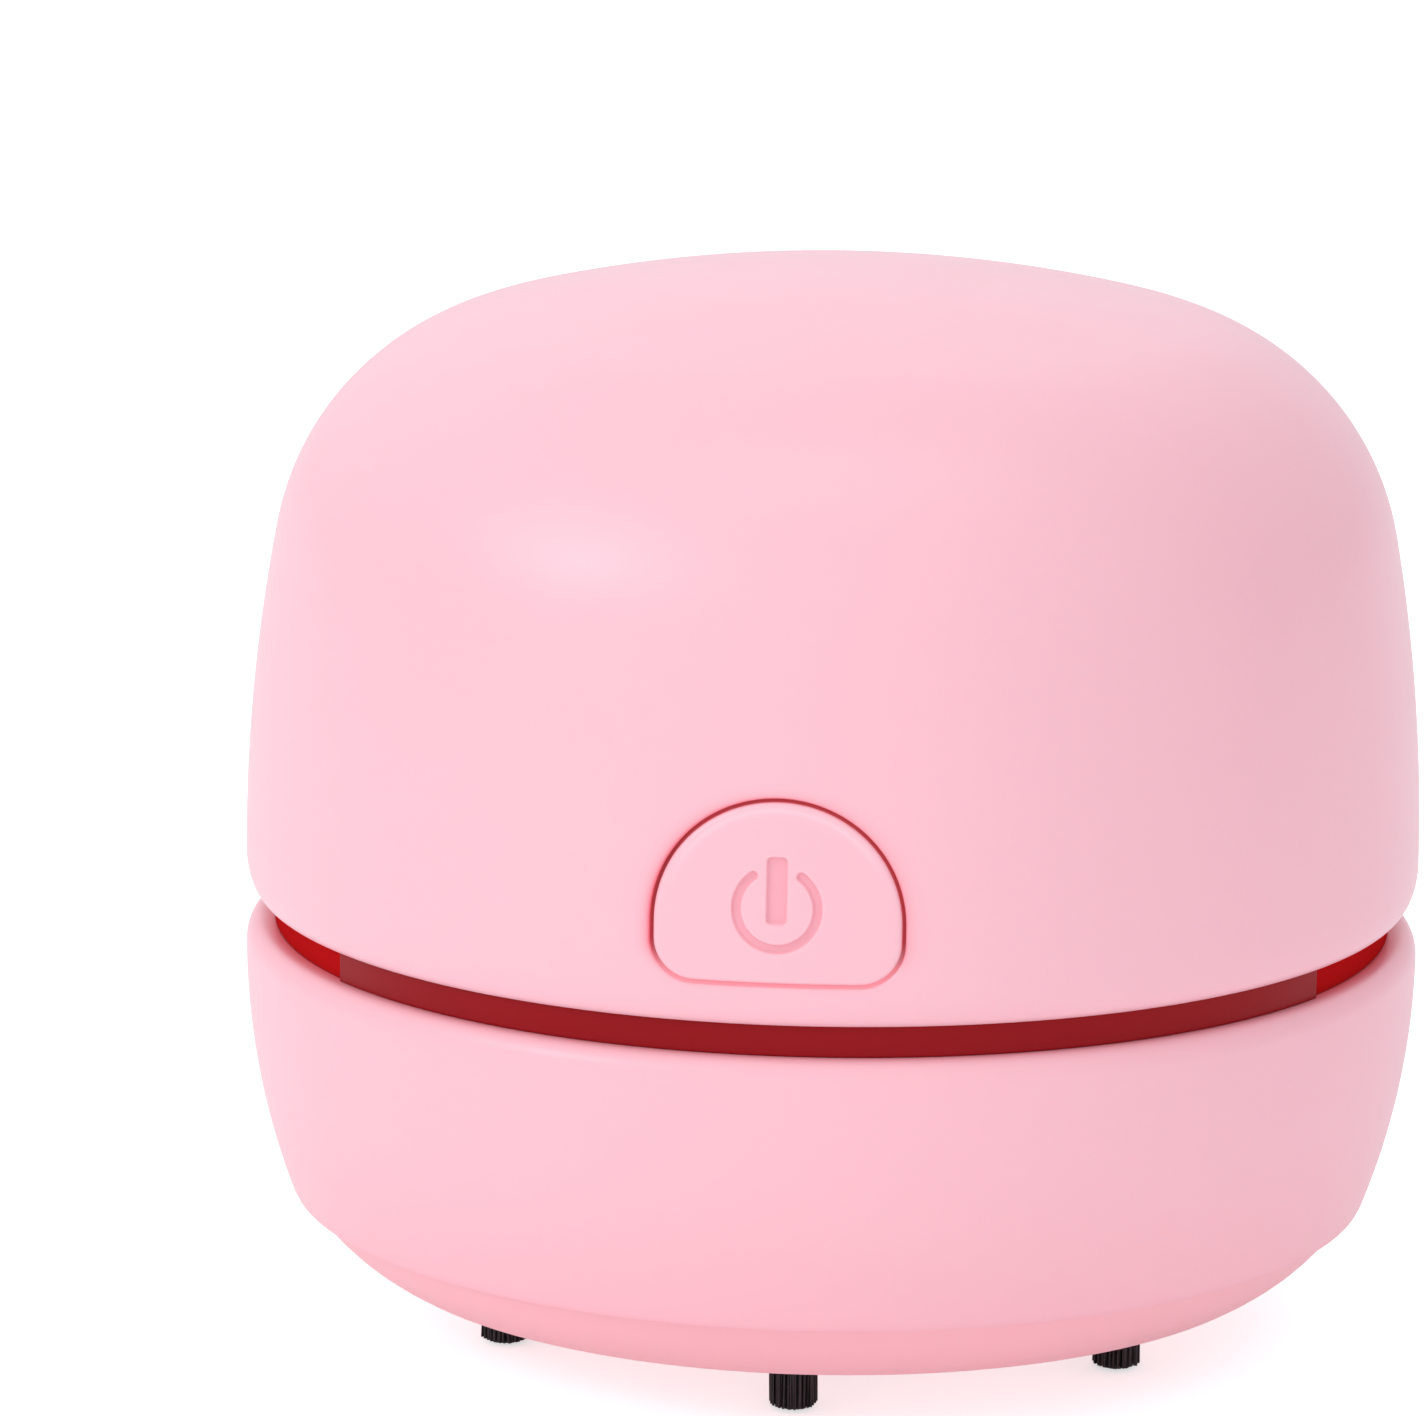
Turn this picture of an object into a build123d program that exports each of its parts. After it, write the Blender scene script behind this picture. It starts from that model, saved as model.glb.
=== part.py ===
"""Desktop mini vacuum cleaner: a domed cover and a bowl-shaped dust box on a red chassis.

Millimetres, +Z up, origin under the middle of the part at the tips of the bristles.
The power button faces -Y. Azimuths are degrees about +Z from the button, towards +X.
"""

import os
from math import asin, atan2, cos, degrees, radians, sin, sqrt, tan

from build123d import *

# ---- driving dimensions -------------------------------------------------------------

# Overall heights, from the bristle tips up
bristle_reach = 5.0  # tufts stand below the base plate
base_height = 4.95  # base plate's visible band
bowl_height = 20.05  # dust box
waist_gap = 2.3  # between the two shells
dome_height = 45.8  # cover, from its lip to its crown

# Skins
body_r = 43.0
shell_wall = 2.0
lip_depth = 1.7
cover_lip_rise = 2.9
box_lip_rise = 1.7
side_r = 128.0  # cover's long side curve
shoulder_r = 20.0
crown_r = 105.0
bowl_r = 52.0

# Base plate
base_inset = 9.2  # in from the widest part
foot_step = 0.75  # base plate stands in from the dust box
foot_round = 14.0
rim_width = 2.8  # standing rim outside the recess
recess_depth = 0.8
plate_wall = 1.8
inlet_land = 0.4  # straight throat above the inlet's funnel
upstand_height = 3.0
upstand_wall = 1.4
inlet_r = 11.0
funnel_flare = 6.0  # wider than the inlet

# Bristles
tuft_count = 6
tuft_inset = 5.2  # tufts' circle in from the recess's edge
tuft_r = 1.7
tuft_flare_r = 1.85
tuft_set = 4.0  # depth of a tuft in its socket
socket_wall = 1.3

# Inlet duct
duct_wall = 1.4
duct_height = 7.4
duct_foot = 4.5  # flange's reach past the inlet
duct_flange = 1.2

# Button, measured on its own face
button_r = 8.5
button_rise = 7.2  # arch centre above the cover's lip
button_drop = 3.85  # flat foot below the arch centre
button_corner = 2.8
button_gap = 0.25
button_edge = 0.3
button_travel = 1.2
sleeve_wall = 1.0
sleeve_reach = 3.6  # sleeve's inner end, in from the widest part
flange_grow = 1.0
flange_thick = 1.0
flange_clear = 0.3  # behind the cover's sleeve
symbol_depth = 0.3
symbol_rise = 1.2  # symbol's ring centre above the arch centre
symbol_ring_r = 3.08
symbol_stroke = 0.58
symbol_opening = 36.0  # half angle of the ring's open top
symbol_bar_width = 1.35
symbol_bar_top = 3.55  # above the ring centre
symbol_bar_drop = 1.05  # below the ring centre

# Ribs that stop the cover on the chassis
rib_count = 6
rib_azimuth = 30.0
rib_thick = 1.2
rib_height = 6.4
rib_root = 0.3  # set into the cover's skin

# Chassis
spigot_wall = 1.6
spigot_low = 6.0  # reach into the dust box
spigot_high = 5.2  # reach into the cover
band_stand = 0.5  # red waist band stands proud of the spigots
deck_wall = 1.6
ledge_wall = 1.3
outlet_height = 2.6  # air way under the ledge
outlet_channel = 8.3  # air way around the fan chamber
housing_height = 7.0  # fan chamber
boss_r = 2.8
boss_inset = 3.5  # in from the spigot
boss_height = 8.0
boss_count = 3
boss_azimuth = 60.0
relief_side = 3.5  # notch's reach past each side of the button
window_azimuth = 61.0  # where the outlet window starts
window_arc = 247.0
pillar_count = 13
pillar_width = 1.6
pillar_wall = 1.1
screen_wall = 0.4
seal_r = 0.6

# Fan and filter
cover_plate = 1.6
eye_r = 11.0
collar_height = 3.5
collar_wall = 1.4
filter_rim = 3.05
filter_height = 3.4
filter_bar = 1.4
tab_width = 10.0
tab_drop = 2.4
fan_clear = 6.0  # from the fan chamber's wall
fan_plate = 1.0
fan_height = 4.4
fan_lift = 1.2  # blades above the fan cover
hub_r = 3.4
blade_count = 9
blade_wall = 1.0
blade_sweep = 6.25  # blade tip's sideways reach
blade_bend = 22.0

# Motor
shaft_r = 1.0
bush_r = 3.0
bush_length = 3.0
bush_set = 0.2  # lower bush in the can's nose
motor_r = 12.2
motor_height = 26.0
can_wall = 0.8
nose_r = 3.9
nose_height = 1.4
cap_height = 2.2
cap_plug = 2.0
plug_wall = 1.2
shaft_end = 0.8  # above the end cap
magnet_wall = 1.75
magnet_length = 18.0
magnet_arc = 120.0
air_gap = 0.4
armature_length = 16.0
slot_count = 3
slot_width = 1.6
commutator_r = 3.0
commutator_length = 1.8
commutator_gap = 0.6
terminal_offset = 6.0
terminal_height = 2.7
terminal_width = 2.2
terminal_thick = 0.5

# Batteries
cell_gap = 2.15  # from the motor
cell_room = 14.15  # from the widest part
cell_body = 49.2
nub_r = 2.75
nub_length = 1.3
cell_edge = 0.5
tray_floor = 1.2
tray_wall = 1.3
plate_thick = 0.4
contact_side = 2.75  # in from a cell's sides
contact_end = 2.25  # in from a cell's top
link_height = 3.4  # strip that joins the two cells
link_rise = 2.5  # above the cells' axes
spring_length = 3.9
spring_base_r = 3.6
spring_tip_r = 2.3
spring_wire_r = 0.35
spring_turns = 3.0

# Switch
board_width = 16.0
board_thick = 1.6
board_lip = 0.3  # in front of the switch
board_back = 4.3  # from the motor
board_clear = 0.5
switch_width = 8.0
switch_depth = 7.0
switch_height = 6.4
plunger_side = 3.0
plunger_reach = 3.5
plunger_root = 1.0
plunger_edge = 0.3
plunger_clear = 0.3  # behind the pressed plunger

# Fasteners and leads
screw_r = 1.1
screw_head_r = 2.1
screw_head = 1.4
cover_screw_length = 7.3
cross_width = 0.6
cross_length = 2.6
cross_depth = 0.8
motor_screw_r = 1.0
motor_screw_head_r = 1.9
motor_screw_head = 0.9
motor_screw_length = 3.2
motor_screw_offset = 8.0
tray_screw_offset = 8.0
tray_screw_back = 22.5
lead_r = 0.6
lead_rise = 3.5  # over the battery plates
lead_loop = 2.4  # over the motor's terminals
lead_stand = 1.5  # off the motor's can
lead_joint = 1.75  # above a terminal's root
lead_inset = 2.0  # from the switch board's edge
lead_step = 1.5  # a lead's smallest sideways step
lead_run = 5.0  # a lead's straight run between two turns
lead_set = 2.5  # red lead's joint behind the battery plates

# Clearances
seat = 0.05  # flat faces that rest on each other
slip = 0.1  # round fits that pull apart
running = 0.04  # shaft in its bushes
screw_clear = 0.05
screw_end = 0.3  # hole beyond a screw's end
rib_clear = 0.3  # rib's tip from the spigot's inner face
mouth_clear = 0.5  # below the spigot in the dust box
relief_clear = 1.0  # button's notch from the fan housing
screen_azimuth = 0.2  # short of the outlet window at each end, in degrees
past = 1.0  # how far a cut reaches past what it cuts

# ---- derived places -----------------------------------------------------------------

base_z = bristle_reach
foot_z = base_z + base_height
box_z = foot_z + bowl_height  # dust box lip
cover_z = box_z + waist_gap  # cover lip
crown_z = cover_z + dome_height
cover_equator = cover_z + cover_lip_rise
bowl_equator = box_z - box_lip_rise
mouth_r = body_r - shell_wall
spigot_r = mouth_r - slip
spigot_in = spigot_r - spigot_wall
housing_r = spigot_in - outlet_channel
boss_circle_r = spigot_in - boss_inset
fan_r = housing_r - fan_clear
filter_r = housing_r + seat
base_r = body_r - base_inset
recess_r = base_r - rim_width
tuft_circle_r = recess_r - tuft_inset
funnel_r = inlet_r + funnel_flare
duct_flange_r = inlet_r + duct_foot
button_relief = button_r + relief_side
cell_r = (body_r - cell_room - cell_gap - motor_r) / 2  # an AA cell
cell_offset = motor_r + cell_gap + cell_r
contact_width = 2 * (cell_r - contact_side)
contact_height = 2 * (cell_r - contact_end)
band_r = spigot_r + band_stand
band_low = box_z + seat
band_high = cover_z - seat
floor_z = box_z  # fan chamber floor
deck_z = floor_z + housing_height  # underside of the inner deck
deck_top = deck_z + deck_wall
ledge_z = floor_z + outlet_height
ledge_top = ledge_z + ledge_wall
button_z = cover_z + button_rise
symbol_z = button_z + symbol_rise
sleeve_end_y = body_r - sleeve_reach
flange_front = sleeve_end_y - flange_clear
button_back = flange_front - flange_thick
plunger_tip = button_back - slip
switch_front = plunger_tip - plunger_reach
board_front = switch_front + board_lip
board_length = board_front - motor_r - board_back

side_centre = Vector(body_r - side_r, cover_equator)
crown_centre = Vector(0, crown_z - crown_r)


def outer_crossing(first, first_r, second, second_r):
    """Where two circles cross, on the side away from the axis."""
    span = second - first
    along = (first_r**2 - second_r**2 + span.length**2) / (2 * span.length)
    across = sqrt(first_r**2 - along**2)
    way = span.normalized()
    middle = first + way * along
    aside = Vector(-way.Y, way.X) * across
    return max(middle + aside, middle - aside, key=lambda point: point.X)


def bearing(start, end):
    """Angle of the line from start to end, in degrees."""
    return degrees(atan2(end.Y - start.Y, end.X - start.X))


shoulder_centre = outer_crossing(
    side_centre, side_r - shoulder_r, crown_centre, crown_r - shoulder_r
)
side_end = bearing(side_centre, shoulder_centre)
crown_start = bearing(crown_centre, shoulder_centre)


def bowl_radius(height, inset=0.0):
    """The dust box's radius at a height, with its skin moved in by inset."""
    return body_r - bowl_r + sqrt((bowl_r - inset) ** 2 - (bowl_equator - height) ** 2)


# ---- shared forms -------------------------------------------------------------------


def dome(inset, lip=0.0):
    """The cover's outer form, closed below at its lip, with its skin moved in by inset."""
    edge_r = body_r - inset
    with BuildPart() as form:
        with BuildSketch(Plane.XZ):
            with BuildLine():
                Line((0, cover_z), (edge_r - lip, cover_z))
                if lip > 0:
                    EllipticalCenterArc(
                        (edge_r - lip, cover_equator), lip, cover_lip_rise, 270, arc_size=90
                    )
                else:
                    Line((edge_r, cover_z), (edge_r, cover_equator))
                CenterArc(side_centre, side_r - inset, 0, side_end)
                CenterArc(shoulder_centre, shoulder_r - inset, side_end, crown_start - side_end)
                CenterArc(crown_centre, crown_r - inset, crown_start, 90 - crown_start)
                Line((0, crown_z - inset), (0, cover_z))
            make_face()
        revolve(axis=Axis.Z)
    return form.part


def bowl(inset, lip=0.0):
    """The dust box's outer form, closed at both ends, with its skin moved in by inset."""
    edge_r = body_r - inset
    turn = degrees(asin((bowl_equator - foot_z) / (bowl_r - inset)))
    with BuildPart() as form:
        with BuildSketch(Plane.XZ):
            with BuildLine():
                Line((0, box_z), (edge_r - lip, box_z))
                if lip > 0:
                    EllipticalCenterArc(
                        (edge_r - lip, bowl_equator), lip, box_lip_rise, 0, arc_size=90
                    )
                else:
                    Line((edge_r, box_z), (edge_r, bowl_equator))
                CenterArc((body_r - bowl_r, bowl_equator), bowl_r - inset, 0, -turn)
                Line((bowl_radius(foot_z, inset), foot_z), (0, foot_z))
                Line((0, foot_z), (0, box_z))
            make_face()
        revolve(axis=Axis.Z)
    return form.part


def band(inner, outer, low, high):
    """A rectangle in the current half-section sketch, from inner to outer radius."""
    with Locations((inner, low)):
        Rectangle(outer - inner, high - low, align=(Align.MIN, Align.MIN))


def half_section(azimuth=90.0):
    """The plane through the axis whose x direction points out at an azimuth."""
    out = Vector(sin(radians(azimuth)), -cos(radians(azimuth)), 0)
    return Plane(origin=(0, 0, 0), x_dir=out, z_dir=out.cross(Vector(0, 0, 1)))


def around(radius, count, azimuth, span=360.0, endpoint=False):
    """Places on a circle about the axis, the first at an azimuth."""
    return PolarLocations(radius, count, azimuth - 90, span, endpoint=endpoint)


def arch(grow):
    """The button's outline, grown outward by grow, for a sketch that looks along Y."""
    radius = button_r + grow
    foot = button_z - button_drop - grow
    with BuildSketch() as outline:
        with BuildLine():
            CenterArc((0, button_z), radius, 0, 180)
            FilletPolyline(
                (-radius, button_z),
                (-radius, foot),
                (radius, foot),
                (radius, button_z),
                radius=button_corner + grow,
            )
        make_face()
    return outline.sketch


def lead(*points):
    """A round lead along straight runs, each corner as large as its two runs allow."""
    route = [Vector(*point) for point in points]
    corners = []
    for before, here, after in zip(route, route[1:], route[2:]):
        turn = radians((here - before).get_angle(after - here))
        shorter = min((here - before).length, (after - here).length)
        corners.append(0.45 * shorter / tan(turn / 2))
    with BuildPart() as wire:
        with BuildLine() as path:
            FilletPolyline(*route, radius=corners)
        with BuildSketch(Plane(origin=path.line @ 0, z_dir=path.line % 0)):
            Circle(lead_r)
        sweep(path=path.line)
    return wire.part


def cross():
    """The cross in a screw's head, for the current sketch."""
    Rectangle(cross_width, cross_length)
    Rectangle(cross_length, cross_width)


def write(part, name):
    """Label a finished piece and write its file."""
    part.label = name
    export_step(part, f"parts/{name}.step")


os.makedirs("parts", exist_ok=True)

dome_skin = dome(0, lip_depth)
dome_inside = dome(shell_wall)
dome_symbol_floor = dome(symbol_depth)
bowl_skin = bowl(0, lip_depth)
bowl_inside = bowl(shell_wall)

# ---- cover and button ---------------------------------------------------------------

with BuildPart() as button_sleeve:
    with BuildSketch(Plane.XZ.offset(sleeve_end_y)):
        add(arch(button_gap + sleeve_wall))
    extrude(amount=body_r - sleeve_end_y)
    add(dome_skin, mode=Mode.INTERSECT)

rib_r = spigot_in + rib_clear
rib_reach = mouth_r + rib_root - rib_r
rib_z = cover_z + spigot_high + seat

with BuildPart() as top_cover:
    add(dome_skin)
    add(dome_inside, mode=Mode.SUBTRACT)
    add(button_sleeve.part)
    with BuildSketch(Plane.XZ):
        add(arch(button_gap))
    extrude(amount=body_r + past, mode=Mode.SUBTRACT)
    with BuildSketch(Plane.XY.offset(rib_z)):
        with around(rib_r, rib_count, rib_azimuth):
            Rectangle(rib_reach, rib_thick, align=(Align.MIN, Align.CENTER))
    extrude(amount=rib_height)
write(top_cover.part, "top_cover")

wedge_half = symbol_ring_r * tan(radians(symbol_opening))

with BuildPart() as symbol:
    with BuildSketch(Plane.XZ.offset(flange_front)):
        with Locations((0, symbol_z)):
            Circle(symbol_ring_r)
            Circle(symbol_ring_r - symbol_stroke, mode=Mode.SUBTRACT)
            with BuildLine():
                Polyline(
                    (0, symbol_z),
                    (-wedge_half, symbol_z + symbol_ring_r),
                    (wedge_half, symbol_z + symbol_ring_r),
                    close=True,
                )
            make_face(mode=Mode.SUBTRACT)
        with Locations((0, symbol_z - symbol_bar_drop)):
            RectangleRounded(
                symbol_bar_width,
                symbol_bar_top + symbol_bar_drop,
                symbol_bar_width / 3,
                align=(Align.CENTER, Align.MIN),
            )
    extrude(amount=body_r - flange_front + past)
    add(dome_symbol_floor, mode=Mode.SUBTRACT)

with BuildPart() as power_button:
    with BuildSketch(Plane.XZ.offset(flange_front)):
        add(arch(0))
    extrude(amount=body_r - flange_front + past)
    add(dome_skin, mode=Mode.INTERSECT)
    face_edges = power_button.faces().sort_by(Axis.Y)[0].edges()
    fillet(face_edges, button_edge)
    with BuildSketch(Plane.XZ.offset(button_back)):
        add(arch(flange_grow))
    extrude(amount=flange_thick)
    add(symbol.part, mode=Mode.SUBTRACT)
write(power_button.part, "power_button")

# ---- dust box, base plate, bristles ---------------------------------------------------

mouth_low = box_z - spigot_low - mouth_clear

with BuildPart() as dust_box:
    add(bowl_skin)
    add(bowl_inside, mode=Mode.SUBTRACT)
    with BuildSketch(Plane.XY.offset(mouth_low)):
        Circle(mouth_r)
    extrude(amount=box_z - mouth_low, mode=Mode.SUBTRACT)
write(dust_box.part, "dust_box")

foot_r = bowl_radius(foot_z) - foot_step
foot_top = foot_z - seat
upstand_r = bowl_radius(foot_z, shell_wall) - slip
underside = base_z + recess_depth
plate_top = underside + plate_wall
socket_top = base_z + tuft_set
socket_roof = socket_top + socket_wall

with BuildPart() as base_plate:
    with BuildSketch(Plane.XZ):
        with BuildLine():
            Polyline(
                (foot_r, foot_top),
                (upstand_r, foot_top),
                (upstand_r, foot_z + upstand_height),
                (upstand_r - upstand_wall, foot_z + upstand_height),
                (upstand_r - upstand_wall, plate_top),
                (inlet_r, plate_top),
                (inlet_r, plate_top - inlet_land),
                (funnel_r, underside),
                (recess_r, underside),
                (recess_r, base_z),
                (base_r, base_z),
            )
            RadiusArc((base_r, base_z), (foot_r, foot_top), -foot_round)
        make_face()
    revolve(axis=Axis.Z)
    with BuildSketch(Plane.XY.offset(underside)):
        with around(tuft_circle_r, tuft_count, 0):
            Circle(tuft_r + slip + socket_wall)
    extrude(amount=socket_roof - underside)
    with BuildSketch(Plane.XY.offset(base_z)):
        with around(tuft_circle_r, tuft_count, 0):
            Circle(tuft_r + slip)
    extrude(amount=tuft_set, mode=Mode.SUBTRACT)
write(base_plate.part, "base_plate")

with BuildPart() as bristle_tufts:
    with around(tuft_circle_r, tuft_count, 0):
        Cone(
            tuft_flare_r, tuft_r, underside, align=(Align.CENTER, Align.CENTER, Align.MIN)
        )
    with BuildSketch(Plane.XY.offset(underside)):
        with around(tuft_circle_r, tuft_count, 0):
            Circle(tuft_r)
    extrude(amount=socket_top - underside)
write(bristle_tufts.part, "bristle_tufts")

duct_top = plate_top + duct_height

with BuildPart() as inlet_duct:
    with BuildSketch(Plane.XZ):
        band(inlet_r, inlet_r + duct_wall, plate_top, duct_top)
        band(inlet_r, duct_flange_r, plate_top, plate_top + duct_flange)
    revolve(axis=Axis.Z)
    chamfer(inlet_duct.edges().group_by(Axis.Z)[-1], duct_wall / 3)
write(inlet_duct.part, "inlet_duct")

# ---- chassis ------------------------------------------------------------------------

boss_top = floor_z + boss_height
relief_reach = body_r - housing_r - deck_wall - relief_clear
seal_z = box_z - spigot_low / 2
seal_centre_r = spigot_r + slip / 2 - seal_r

with BuildPart() as chassis:
    with BuildSketch(Plane.XZ):
        band(spigot_in, spigot_r, box_z - spigot_low, cover_z + spigot_high)
        band(spigot_in, band_r, band_low, band_high)
        band(housing_r, spigot_in, ledge_z, ledge_top)
        band(housing_r, housing_r + deck_wall, ledge_z, deck_top)
        band(nose_r + slip, housing_r, deck_z, deck_top)
    revolve(axis=Axis.Z)
    with BuildSketch(Plane.XZ):
        with Locations((seal_centre_r, seal_z)):
            Circle(seal_r)
    revolve(axis=Axis.Z, mode=Mode.SUBTRACT)
    with BuildSketch(half_section(window_azimuth)):
        band(spigot_in - past, band_r + past, band_low, band_high)
    revolve(axis=Axis.Z, revolution_arc=window_arc, mode=Mode.SUBTRACT)
    with BuildSketch(Plane.XY.offset(band_low)):
        with around(spigot_in - past, pillar_count, window_azimuth, window_arc, endpoint=True):
            Rectangle(pillar_wall + 2 * past, pillar_width, align=(Align.MIN, Align.CENTER))
        Circle(spigot_in + pillar_wall, mode=Mode.INTERSECT)
        Circle(spigot_in, mode=Mode.SUBTRACT)
    extrude(amount=band_high - band_low)
    with BuildSketch(Plane.XY.offset(floor_z + seat)):
        with around(boss_circle_r, boss_count, boss_azimuth):
            Circle(boss_r)
    extrude(amount=boss_top - floor_z - seat)
    with BuildSketch(Plane.XY.offset(floor_z)):
        with around(boss_circle_r, boss_count, boss_azimuth):
            Circle(screw_r + screw_clear)
    extrude(amount=cover_screw_length + screw_end - cover_plate, mode=Mode.SUBTRACT)
    with BuildSketch(Plane.XY.offset(deck_z)):
        with GridLocations(2 * motor_screw_offset, 1, 2, 1):
            Circle(motor_screw_r + screw_clear)
        with Locations((0, tray_screw_back)):
            with GridLocations(2 * tray_screw_offset, 1, 2, 1):
                Circle(screw_r + screw_clear)
    extrude(amount=deck_wall, mode=Mode.SUBTRACT)
    with BuildSketch(Plane.XY.offset(ledge_top)):
        with Locations((0, -body_r)):
            Rectangle(2 * button_relief, 2 * relief_reach)
    extrude(amount=spigot_high, mode=Mode.SUBTRACT)
write(chassis.part, "chassis")

screen_in = spigot_r - screen_wall
with BuildPart() as exhaust_screen:
    with BuildSketch(half_section(window_azimuth + screen_azimuth)):
        band(screen_in, spigot_r, band_low, band_high)
    revolve(axis=Axis.Z, revolution_arc=window_arc - 2 * screen_azimuth)
write(exhaust_screen.part, "exhaust_screen")

with BuildPart() as dust_seal:
    with BuildSketch(Plane.XZ):
        with Locations((seal_centre_r, seal_z)):
            Circle(seal_r)
    revolve(axis=Axis.Z)
write(dust_seal.part, "dust_seal")

# ---- fan cover and filter -------------------------------------------------------------

cover_top = floor_z
cover_under = cover_top - cover_plate
collar_in = filter_r + slip
pad_r = filter_r - filter_rim - slip
filter_top = cover_under - slip
filter_low = filter_top - filter_height

with BuildPart() as fan_cover:
    with BuildSketch(Plane.XZ):
        band(eye_r, spigot_in - slip, cover_under, cover_top)
        band(collar_in, collar_in + collar_wall, cover_under - collar_height, cover_under)
    revolve(axis=Axis.Z)
    with BuildSketch(Plane.XY.offset(cover_under)):
        with around(boss_circle_r, boss_count, boss_azimuth):
            Circle(screw_r + screw_clear)
    extrude(amount=cover_plate, mode=Mode.SUBTRACT)
write(fan_cover.part, "fan_cover")

with BuildPart() as fan_cover_screws:
    with BuildSketch(Plane.XY.offset(cover_under - screw_head)):
        with around(boss_circle_r, boss_count, boss_azimuth):
            Circle(screw_head_r)
    extrude(amount=screw_head)
    with BuildSketch(Plane.XY.offset(cover_under)):
        with around(boss_circle_r, boss_count, boss_azimuth):
            Circle(screw_r)
    extrude(amount=cover_screw_length)
    with BuildSketch(Plane.XY.offset(cover_under - screw_head)):
        with around(boss_circle_r, boss_count, boss_azimuth):
            cross()
    extrude(amount=cross_depth, mode=Mode.SUBTRACT)
write(fan_cover_screws.part, "fan_cover_screws")

with BuildPart() as filter_frame:
    with BuildSketch(Plane.XZ):
        band(filter_r - filter_rim, filter_r, filter_low, filter_top)
    revolve(axis=Axis.Z)
    with BuildSketch(Plane.XY.offset(filter_low)):
        Rectangle(2 * filter_r - filter_rim, filter_bar)
        Rectangle(filter_bar, 2 * filter_r - filter_rim)
    extrude(amount=filter_bar)
    with BuildSketch(Plane.XY.offset(filter_low - tab_drop)):
        RectangleRounded(tab_width, filter_bar, filter_bar / 3)
    extrude(amount=tab_drop)
write(filter_frame.part, "filter_frame")

with BuildPart() as filter_pad:
    with BuildSketch(Plane.XY.offset(filter_low + filter_bar)):
        Circle(pad_r)
    extrude(amount=filter_top - filter_low - filter_bar)
write(filter_pad.part, "filter_pad")

# ---- rotor ----------------------------------------------------------------------------

blade_low = floor_z + fan_lift
blade_top = blade_low + fan_height - fan_plate
blade_arc = RadiusArc((eye_r, 0), (fan_r - blade_wall, blade_sweep), blade_bend)

with BuildPart() as impeller:
    with BuildSketch(Plane.XY.offset(blade_top)):
        Circle(fan_r)
    extrude(amount=fan_plate)
    with BuildSketch(Plane.XY.offset(blade_low)):
        Circle(hub_r)
    extrude(amount=blade_top - blade_low)
    with BuildSketch(Plane.XY.offset(blade_low)):
        with PolarLocations(0, blade_count):
            SlotArc(blade_arc, blade_wall)
    extrude(amount=blade_top - blade_low)
    with BuildSketch(Plane.XY.offset(blade_low)):
        Circle(shaft_r)
    extrude(amount=fan_height, mode=Mode.SUBTRACT)
write(impeller.part, "impeller")

can_top = deck_top + motor_height
cap_top = can_top + cap_height
low_bush_z = deck_top - nose_height + bush_set
high_bush_z = cap_top - bush_length
shaft_top = cap_top + shaft_end
can_in = motor_r - can_wall
magnet_in = can_in - magnet_wall
armature_r = magnet_in - air_gap
magnet_z = deck_top + (motor_height - magnet_length) / 2
armature_z = deck_top + (motor_height - armature_length) / 2
commutator_z = armature_z + armature_length + commutator_gap

with BuildPart() as motor_shaft:
    with BuildSketch(Plane.XY.offset(blade_low)):
        Circle(shaft_r)
    extrude(amount=shaft_top - blade_low)
write(motor_shaft.part, "motor_shaft")

with BuildPart() as motor_armature:
    with BuildSketch(Plane.XZ):
        band(shaft_r, armature_r, armature_z, armature_z + armature_length)
        band(shaft_r, commutator_r, armature_z, commutator_z + commutator_length)
    revolve(axis=Axis.Z)
    with BuildSketch(Plane.XY.offset(armature_z)):
        with around(armature_r, slot_count, 0):
            Rectangle(armature_r, slot_width)
    extrude(amount=armature_length, mode=Mode.SUBTRACT)
write(motor_armature.part, "motor_armature")

# ---- motor ----------------------------------------------------------------------------

with BuildPart() as motor_can:
    with BuildSketch(Plane.XZ):
        band(can_in, motor_r, deck_top, can_top)
        band(bush_r, motor_r, deck_top, deck_top + can_wall)
        band(bush_r, nose_r, deck_top - nose_height, deck_top + can_wall)
    revolve(axis=Axis.Z)
    with BuildSketch(Plane.XY.offset(deck_top)):
        with GridLocations(2 * motor_screw_offset, 1, 2, 1):
            Circle(motor_screw_r + screw_clear)
    extrude(amount=can_wall, mode=Mode.SUBTRACT)
write(motor_can.part, "motor_can")

with BuildPart() as motor_end_cap:
    with BuildSketch(Plane.XZ):
        band(bush_r, motor_r, can_top, cap_top)
        band(can_in - plug_wall, can_in, can_top - cap_plug, can_top)
    revolve(axis=Axis.Z)
write(motor_end_cap.part, "motor_end_cap")

with BuildPart() as motor_terminals:
    with BuildSketch(Plane.XY.offset(cap_top)):
        with GridLocations(2 * terminal_offset, 1, 2, 1):
            Rectangle(terminal_thick, terminal_width)
    extrude(amount=terminal_height)
write(motor_terminals.part, "motor_terminals")

with BuildPart() as motor_bushes:
    with BuildSketch(Plane.XZ):
        band(shaft_r + running, bush_r, low_bush_z, low_bush_z + bush_length)
        band(shaft_r + running, bush_r, high_bush_z, cap_top)
    revolve(axis=Axis.Z)
write(motor_bushes.part, "motor_bushes")

with BuildPart() as motor_magnets:
    for middle in (0, 180):
        with BuildSketch(half_section(middle - magnet_arc / 2)):
            band(magnet_in, can_in, magnet_z, magnet_z + magnet_length)
        revolve(axis=Axis.Z, revolution_arc=magnet_arc)
write(motor_magnets.part, "motor_magnets")

with BuildPart() as motor_screws:
    with BuildSketch(Plane.XY.offset(deck_z - motor_screw_head)):
        with GridLocations(2 * motor_screw_offset, 1, 2, 1):
            Circle(motor_screw_head_r)
    extrude(amount=motor_screw_head)
    with BuildSketch(Plane.XY.offset(deck_z)):
        with GridLocations(2 * motor_screw_offset, 1, 2, 1):
            Circle(motor_screw_r)
    extrude(amount=motor_screw_length)
write(motor_screws.part, "motor_screws")

# ---- batteries ------------------------------------------------------------------------

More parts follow.
